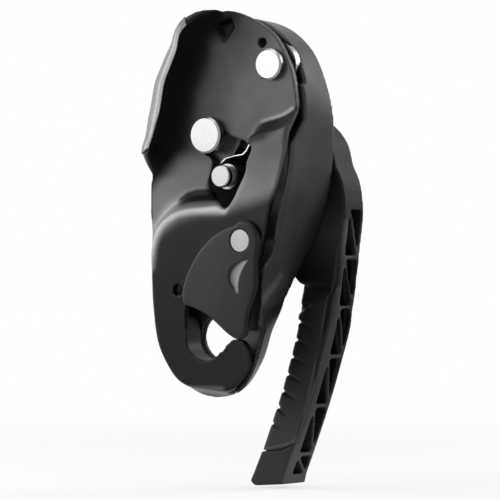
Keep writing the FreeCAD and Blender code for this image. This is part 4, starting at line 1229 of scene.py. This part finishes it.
@dataclass
class SafetyGate:
    """The moulded gate across the hook's mouth, with its crescent thumb scoop."""

    facet: float = 0.0003
    passes: int = 8

    # Its face, levelled round the scoop, and its greys, with painted light and shade
    face_level: float = -14.2
    face_lift: float = 0.02
    patch_depth: float = 1.2
    patch_across: Span = (6.5, 22.0)
    patch_up: Span = (17.0, 32.5)
    front_normal: float = -0.2
    tone: float = 0.014
    shaded_side: Span = (18.6, 21.6)
    shaded_share: float = 0.5
    light_side: float = 1.5
    light_falls_by: float = 0.7
    light_slant: float = 0.35
    light_across: Span = (-6.0, 10.0)

    # The scoop: a sharp drop on its left and a long slope back up to its right
    scoop_left: Line = (
        (18.0, 16.6), (16.6, 17.6), (15.3, 18.9), (14.3, 20.4), (13.6, 22.2), (13.6, 24.0),
        (14.2, 25.6), (15.3, 27.0), (16.9, 28.2), (18.9, 29.1), (21.0, 29.7), (23.0, 30.1),
    )
    scoop_right: Line = (
        (18.2, 16.6), (17.9, 17.6), (17.7, 18.9), (17.7, 20.4), (18.1, 22.2), (18.6, 24.0),
        (19.4, 25.6), (20.2, 27.0), (21.1, 28.2), (21.9, 29.1), (22.6, 29.7), (23.2, 30.1),
    )
    scoop_depth: float = 1.0
    scoop_drop: Span = (-0.16, 0.06)
    scoop_foot: float = 2.6
    scoop_head: float = 2.0
    least_width: float = 0.4
    # Where a highlight is painted on the scoop's slope
    highlight_starts: Span = (-0.08, 0.12)
    highlight_ends: Span = (0.88, 1.08)
    highlight_least: float = 0.45
    highlight_gain: float = 2.0
    highlight_tone: float = 0.24

    def build(self, finish: bpy.types.Material) -> None:
        """Builds and dresses the gate.

        Args:
            finish: its material.
        """
        gate = rounded_copy("safety_gate", "moulded_gate", self.facet, self.passes)
        store_tone(gate, self.hollow_scoop(gate))
        finish_piece(gate, Body.GATE, finish, ["safety_gate"])

    def hollow_scoop(self, gate: bpy.types.Object) -> np.ndarray:
        """Levels the gate's face and hollows the thumb scoop out of it.

        Args:
            gate: the gate.

        Returns:
            The grey of each point, with a painted highlight on the scoop's slope.
        """
        points = points_of(gate)
        across, up = points[:, 0], points[:, 2]
        start = read_off(up, np.array(self.scoop_left)[:, ::-1])
        end = read_off(up, np.array(self.scoop_right)[:, ::-1])
        share = (across - start) / np.maximum(end - start, self.least_width)
        bottom, top = self.scoop_left[0][1], self.scoop_left[-1][1]
        wide = smooth_step(up, bottom, bottom + self.scoop_foot)
        wide *= fade_out(up, top - self.scoop_head, top)
        self.level_face(points)
        front = normals_of(gate)[:, 1] < self.front_normal
        front &= points[:, 1] < self.face_level
        slope = np.clip(1.0 - share, 0.0, 1.0) * smooth_step(share, *self.scoop_drop)
        points[:, 1] += np.where(front, slope * wide * self.scoop_depth, 0.0)
        put_points(gate, points)
        # Painted highlight on the scoop's slope
        wear_and_highlight = smooth_step(share, *self.highlight_starts) * fade_out(share, *self.highlight_ends)
        wear_and_highlight *= np.minimum(wide * self.highlight_gain, 1.0)
        wear_and_highlight *= self.highlight_least + (1.0 - self.highlight_least) * np.clip(share, 0.0, 1.0)
        return draw_to(self.face_tones(points), self.highlight_tone, np.where(front, wear_and_highlight, 0.0))

    def level_face(self, points: np.ndarray) -> None:
        """Levels the face's left part, so that the scoop has a clean edge there.

        Args:
            points: the gate's points, which are changed in place.
        """
        (left, right), (low, high) = self.patch_across, self.patch_up
        across, depth, up = points.T
        patch = (across > left) & (across < right) & (up > low) & (up < high)
        patch &= depth < self.face_level + self.patch_depth
        points[patch, 1] = depth.min() + self.face_lift

    def face_tones(self, points: np.ndarray) -> np.ndarray:
        """The gate's greys without the scoop, with painted light to the left and painted shade
        where the plate shades it.

        Args:
            points: the gate's points.

        Returns:
            One grey for each point.
        """
        across, up = points[:, 0], points[:, 2]
        shaded = smooth_step(across, *self.shaded_side)
        tone = self.tone * (1.0 - (1.0 - self.shaded_share) * shaded)
        aside = smooth_step(across - self.light_slant * up, *self.light_across)
        return tone * (self.light_side - self.light_falls_by * aside)


@dataclass
class Hardware:
    """The turned studs, rivets, washers, springs and cam, which keep their CAD shapes."""

    finishes: dict[str, Finish] = field(default_factory=dict)

    def dress(self) -> None:
        """Puts each node's finish on it, each built once."""
        built = {}
        for node, finish in self.finishes.items():
            if finish.name not in built:
                built[finish.name] = finish.build()
            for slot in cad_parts[node].material_slots:
                slot.material = built[finish.name]
            log.info("%s: %s", node, finish.name)


def hardware_finishes() -> dict[str, Finish]:
    """Chooses the finish of each CAD node that keeps its shape.

    Returns:
        Finishes by the node's name.
    """
    even = (1.0, 1.0, 1.0)
    cam_steel = TurnedSteel("cam_stud_steel", CAM_AXIS)
    handle_steel = TurnedSteel("handle_stud_steel", HANDLE_AXIS)
    pivot_steel = TurnedSteel("pivot_steel", PIVOT_AXIS)
    gate_steel = TurnedSteel("gate_rivet_steel", GATE_AXIS)
    stainless = DrawnSteel("ground_stainless")
    wire = DrawnSteel("spring_wire", colour=(0.60, 0.60, 0.59), pale=(0.74, 0.74, 0.73),
                      rough=(0.18, 0.28), streak=even)
    bronze = DrawnSteel("sintered_bronze", colour=(0.46, 0.31, 0.16), pale=(0.60, 0.42, 0.24),
                        rough=(0.34, 0.48), streak=even)
    dark = Anodising("hard_anodised_cam", grain_depth=0.000003)
    nylon = Moulding("hub_cover_nylon")
    nodes = {
        cam_steel: ("cam_axle",),
        handle_steel: ("handle_axle", "handle_axle_ring"),
        pivot_steel: ("plate_pivot_rivet", "plate_pivot_spacer"),
        gate_steel: ("gate_axle",),
        stainless: (
            "cam_washer", "cam_stop_pin", "cam_drive_pin", "handle_axle_nut", "handle_washer",
            "handle_drive_plate", "drive_plate_screws", "plate_pivot_washer", "gate_stop_pin",
            "friction_plate", "friction_plate_rivets",
        ),
        wire: ("cam_return_spring", "handle_return_spring", "gate_spring"),
        bronze: ("cam_bushing", "handle_bushing"),
        dark: ("cam", "handle_axle_collar"),
        nylon: ("handle_hub_cover", "gate_core"),
    }
    return {node: finish for finish, named in nodes.items() for node in named}


# Studio


@dataclass(frozen=True)
class Softbox:
    """One soft lamp: where it stands and what it faces, in metres, its size and its radiance."""

    name: str
    place: Triple
    target: Triple
    width: float
    height: float
    radiance: float

    def hang(self) -> None:
        """Adds the lamp to the scene, facing its target."""
        data = bpy.data.lights.new(self.name, "AREA")
        data.shape = "RECTANGLE"
        data.size = self.width
        data.size_y = self.height
        data.energy = self.radiance * math.pi * self.width * self.height
        lamp = bpy.data.objects.new(self.name, data)
        bpy.context.collection.objects.link(lamp)
        lamp.location = self.place
        facing = Vector(self.target) - Vector(self.place)
        lamp.rotation_euler = facing.to_track_quat("-Z", "Y").to_euler()


@dataclass
class Studio:
    """Pale floor, soft lamps and a level camera at the photograph's angle.

    The camera's place and the lamps are in metres. The point that it looks at is in millimetres,
    across the view and up.
    """

    azimuth: float = 35.0
    distance: float = 1.3
    pixels_per_mm: float = 2.6
    image: int = 500
    across: float = 10.27
    height: float = 33.46
    nearest: float = 0.05
    farthest: float = 20.0
    lamps: tuple[Softbox, ...] = (
        Softbox("key", (-0.253, -0.374, 0.30), (0.005, -0.0055, 0.30), 0.36, 0.46, 3.0),
        Softbox("left", (-0.50, -0.12, 0.14), (0.0, 0.0, 0.07), 0.30, 0.50, 2.6),
        Softbox("rim", (0.324, 0.410, 0.34), (0.037, 0.0, 0.10), 0.34, 0.40, 3.6),
        Softbox("top", (0.05, -0.05, 0.75), (0.0, 0.0, 0.06), 0.50, 0.50, 1.6),
    )
    ambient: float = 0.30
    floor_size: float = 12.0
    floor_drop: float = 0.001
    floor_paint: float = 0.96
    floor_near: float = 0.16
    floor_far: float = 0.55
    floor_share: float = 0.72

    def set_up(self) -> None:
        """Adds floor, lamps, world and camera, and sets the plain view transform."""
        self.lay_floor()
        for lamp in self.lamps:
            lamp.hang()
        self.light_world()
        self.place_camera()
        bpy.context.scene.view_settings.view_transform = "Standard"

    def lay_floor(self) -> None:
        """Adds the pale floor, which turns to white with the distance and keeps the shadow."""
        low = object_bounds()[0]
        bpy.ops.mesh.primitive_plane_add(
            size=self.floor_size, location=(0.0, 0.0, low.z - self.floor_drop))
        floor = bpy.context.active_object
        floor.name = "studio_floor"
        material = bpy.data.materials.new("floor_paint")
        material.use_nodes = True
        nodes = Nodes(material.node_tree)
        away = nodes.add("VectorMath", operation="LENGTH")
        nodes.feed(away.inputs[0], nodes.add("TexCoord").outputs["Object"])
        white = nodes.span(away.outputs["Value"], self.floor_share, 1.0,
                           self.floor_near, self.floor_far)
        paint = nodes.add("BsdfDiffuse")
        nodes.feed(paint.inputs["Color"], (*(self.floor_paint,) * 3, 1.0))
        glow = nodes.add("Emission")
        nodes.feed(glow.inputs["Color"], WHITE)
        nodes.close("OutputMaterial", nodes.combine("MULTIPLY", nodes.seen_rays(), white),
                    paint.outputs["BSDF"], glow.outputs["Emission"])
        floor.data.materials.append(material)
        floor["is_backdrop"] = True

    def light_world(self) -> None:
        """Adds a dim world that the camera, gloss and glass see as white."""
        world = bpy.data.worlds.new("studio")
        bpy.context.scene.world = world
        world.use_nodes = True
        nodes = Nodes(world.node_tree)
        rooms = []
        for strength in (self.ambient, 1.0):
            room = nodes.add("Background")
            nodes.feed(room.inputs["Color"], WHITE)
            nodes.feed(room.inputs["Strength"], strength)
            rooms.append(room.outputs["Background"])
        nodes.close("OutputWorld", nodes.seen_rays(), *rooms)

    def place_camera(self) -> None:
        """Adds the camera and aims it."""
        turn = math.radians(self.azimuth)
        aside = Vector((math.cos(turn), math.sin(turn), 0.0))
        back = Vector((math.sin(turn), -math.cos(turn), 0.0))
        target = aside * (self.across * MM) + Vector((0.0, 0.0, self.height * MM))
        data = bpy.data.cameras.new("camera")
        data.lens = data.sensor_width * self.distance / (self.image / self.pixels_per_mm * MM)
        data.clip_start = self.nearest
        data.clip_end = self.farthest
        camera = bpy.data.objects.new("camera", data)
        bpy.context.collection.objects.link(camera)
        camera.location = target + back * self.distance
        camera.rotation_euler = (-back).to_track_quat("-Z", "Y").to_euler()
        bpy.context.scene.camera = camera


def main() -> None:
    """Builds the dressed object and its studio."""
    logging.basicConfig(level=logging.INFO, format="%(message)s")
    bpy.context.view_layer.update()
    plate_finish = Anodising("satin_black_plate", painted=True).build()
    shell_finish = Anodising("satin_black_shell", painted=True).build()
    nylon = Moulding("black_nylon", painted=True, specular=0.11).build()
    gate_nylon = Moulding("gate_nylon", pale=(0.020, 0.0204, 0.0215), painted=True,
                          rough=(0.36, 0.46), specular=0.20).build()
    rubber = Moulding("grip_rubber", painted=True, rough=(0.46, 0.56), specular=0.26,
                      sheen=0.04).build()
    FrontPlate().build(plate_finish, RubbedStrip().build())
    RearShell().build(shell_finish)
    HandLever().build(nylon, rubber)
    SafetyGate().build(gate_nylon)
    Hardware(hardware_finishes()).dress()
    Studio().set_up()


if __name__ == "__main__":
    main()
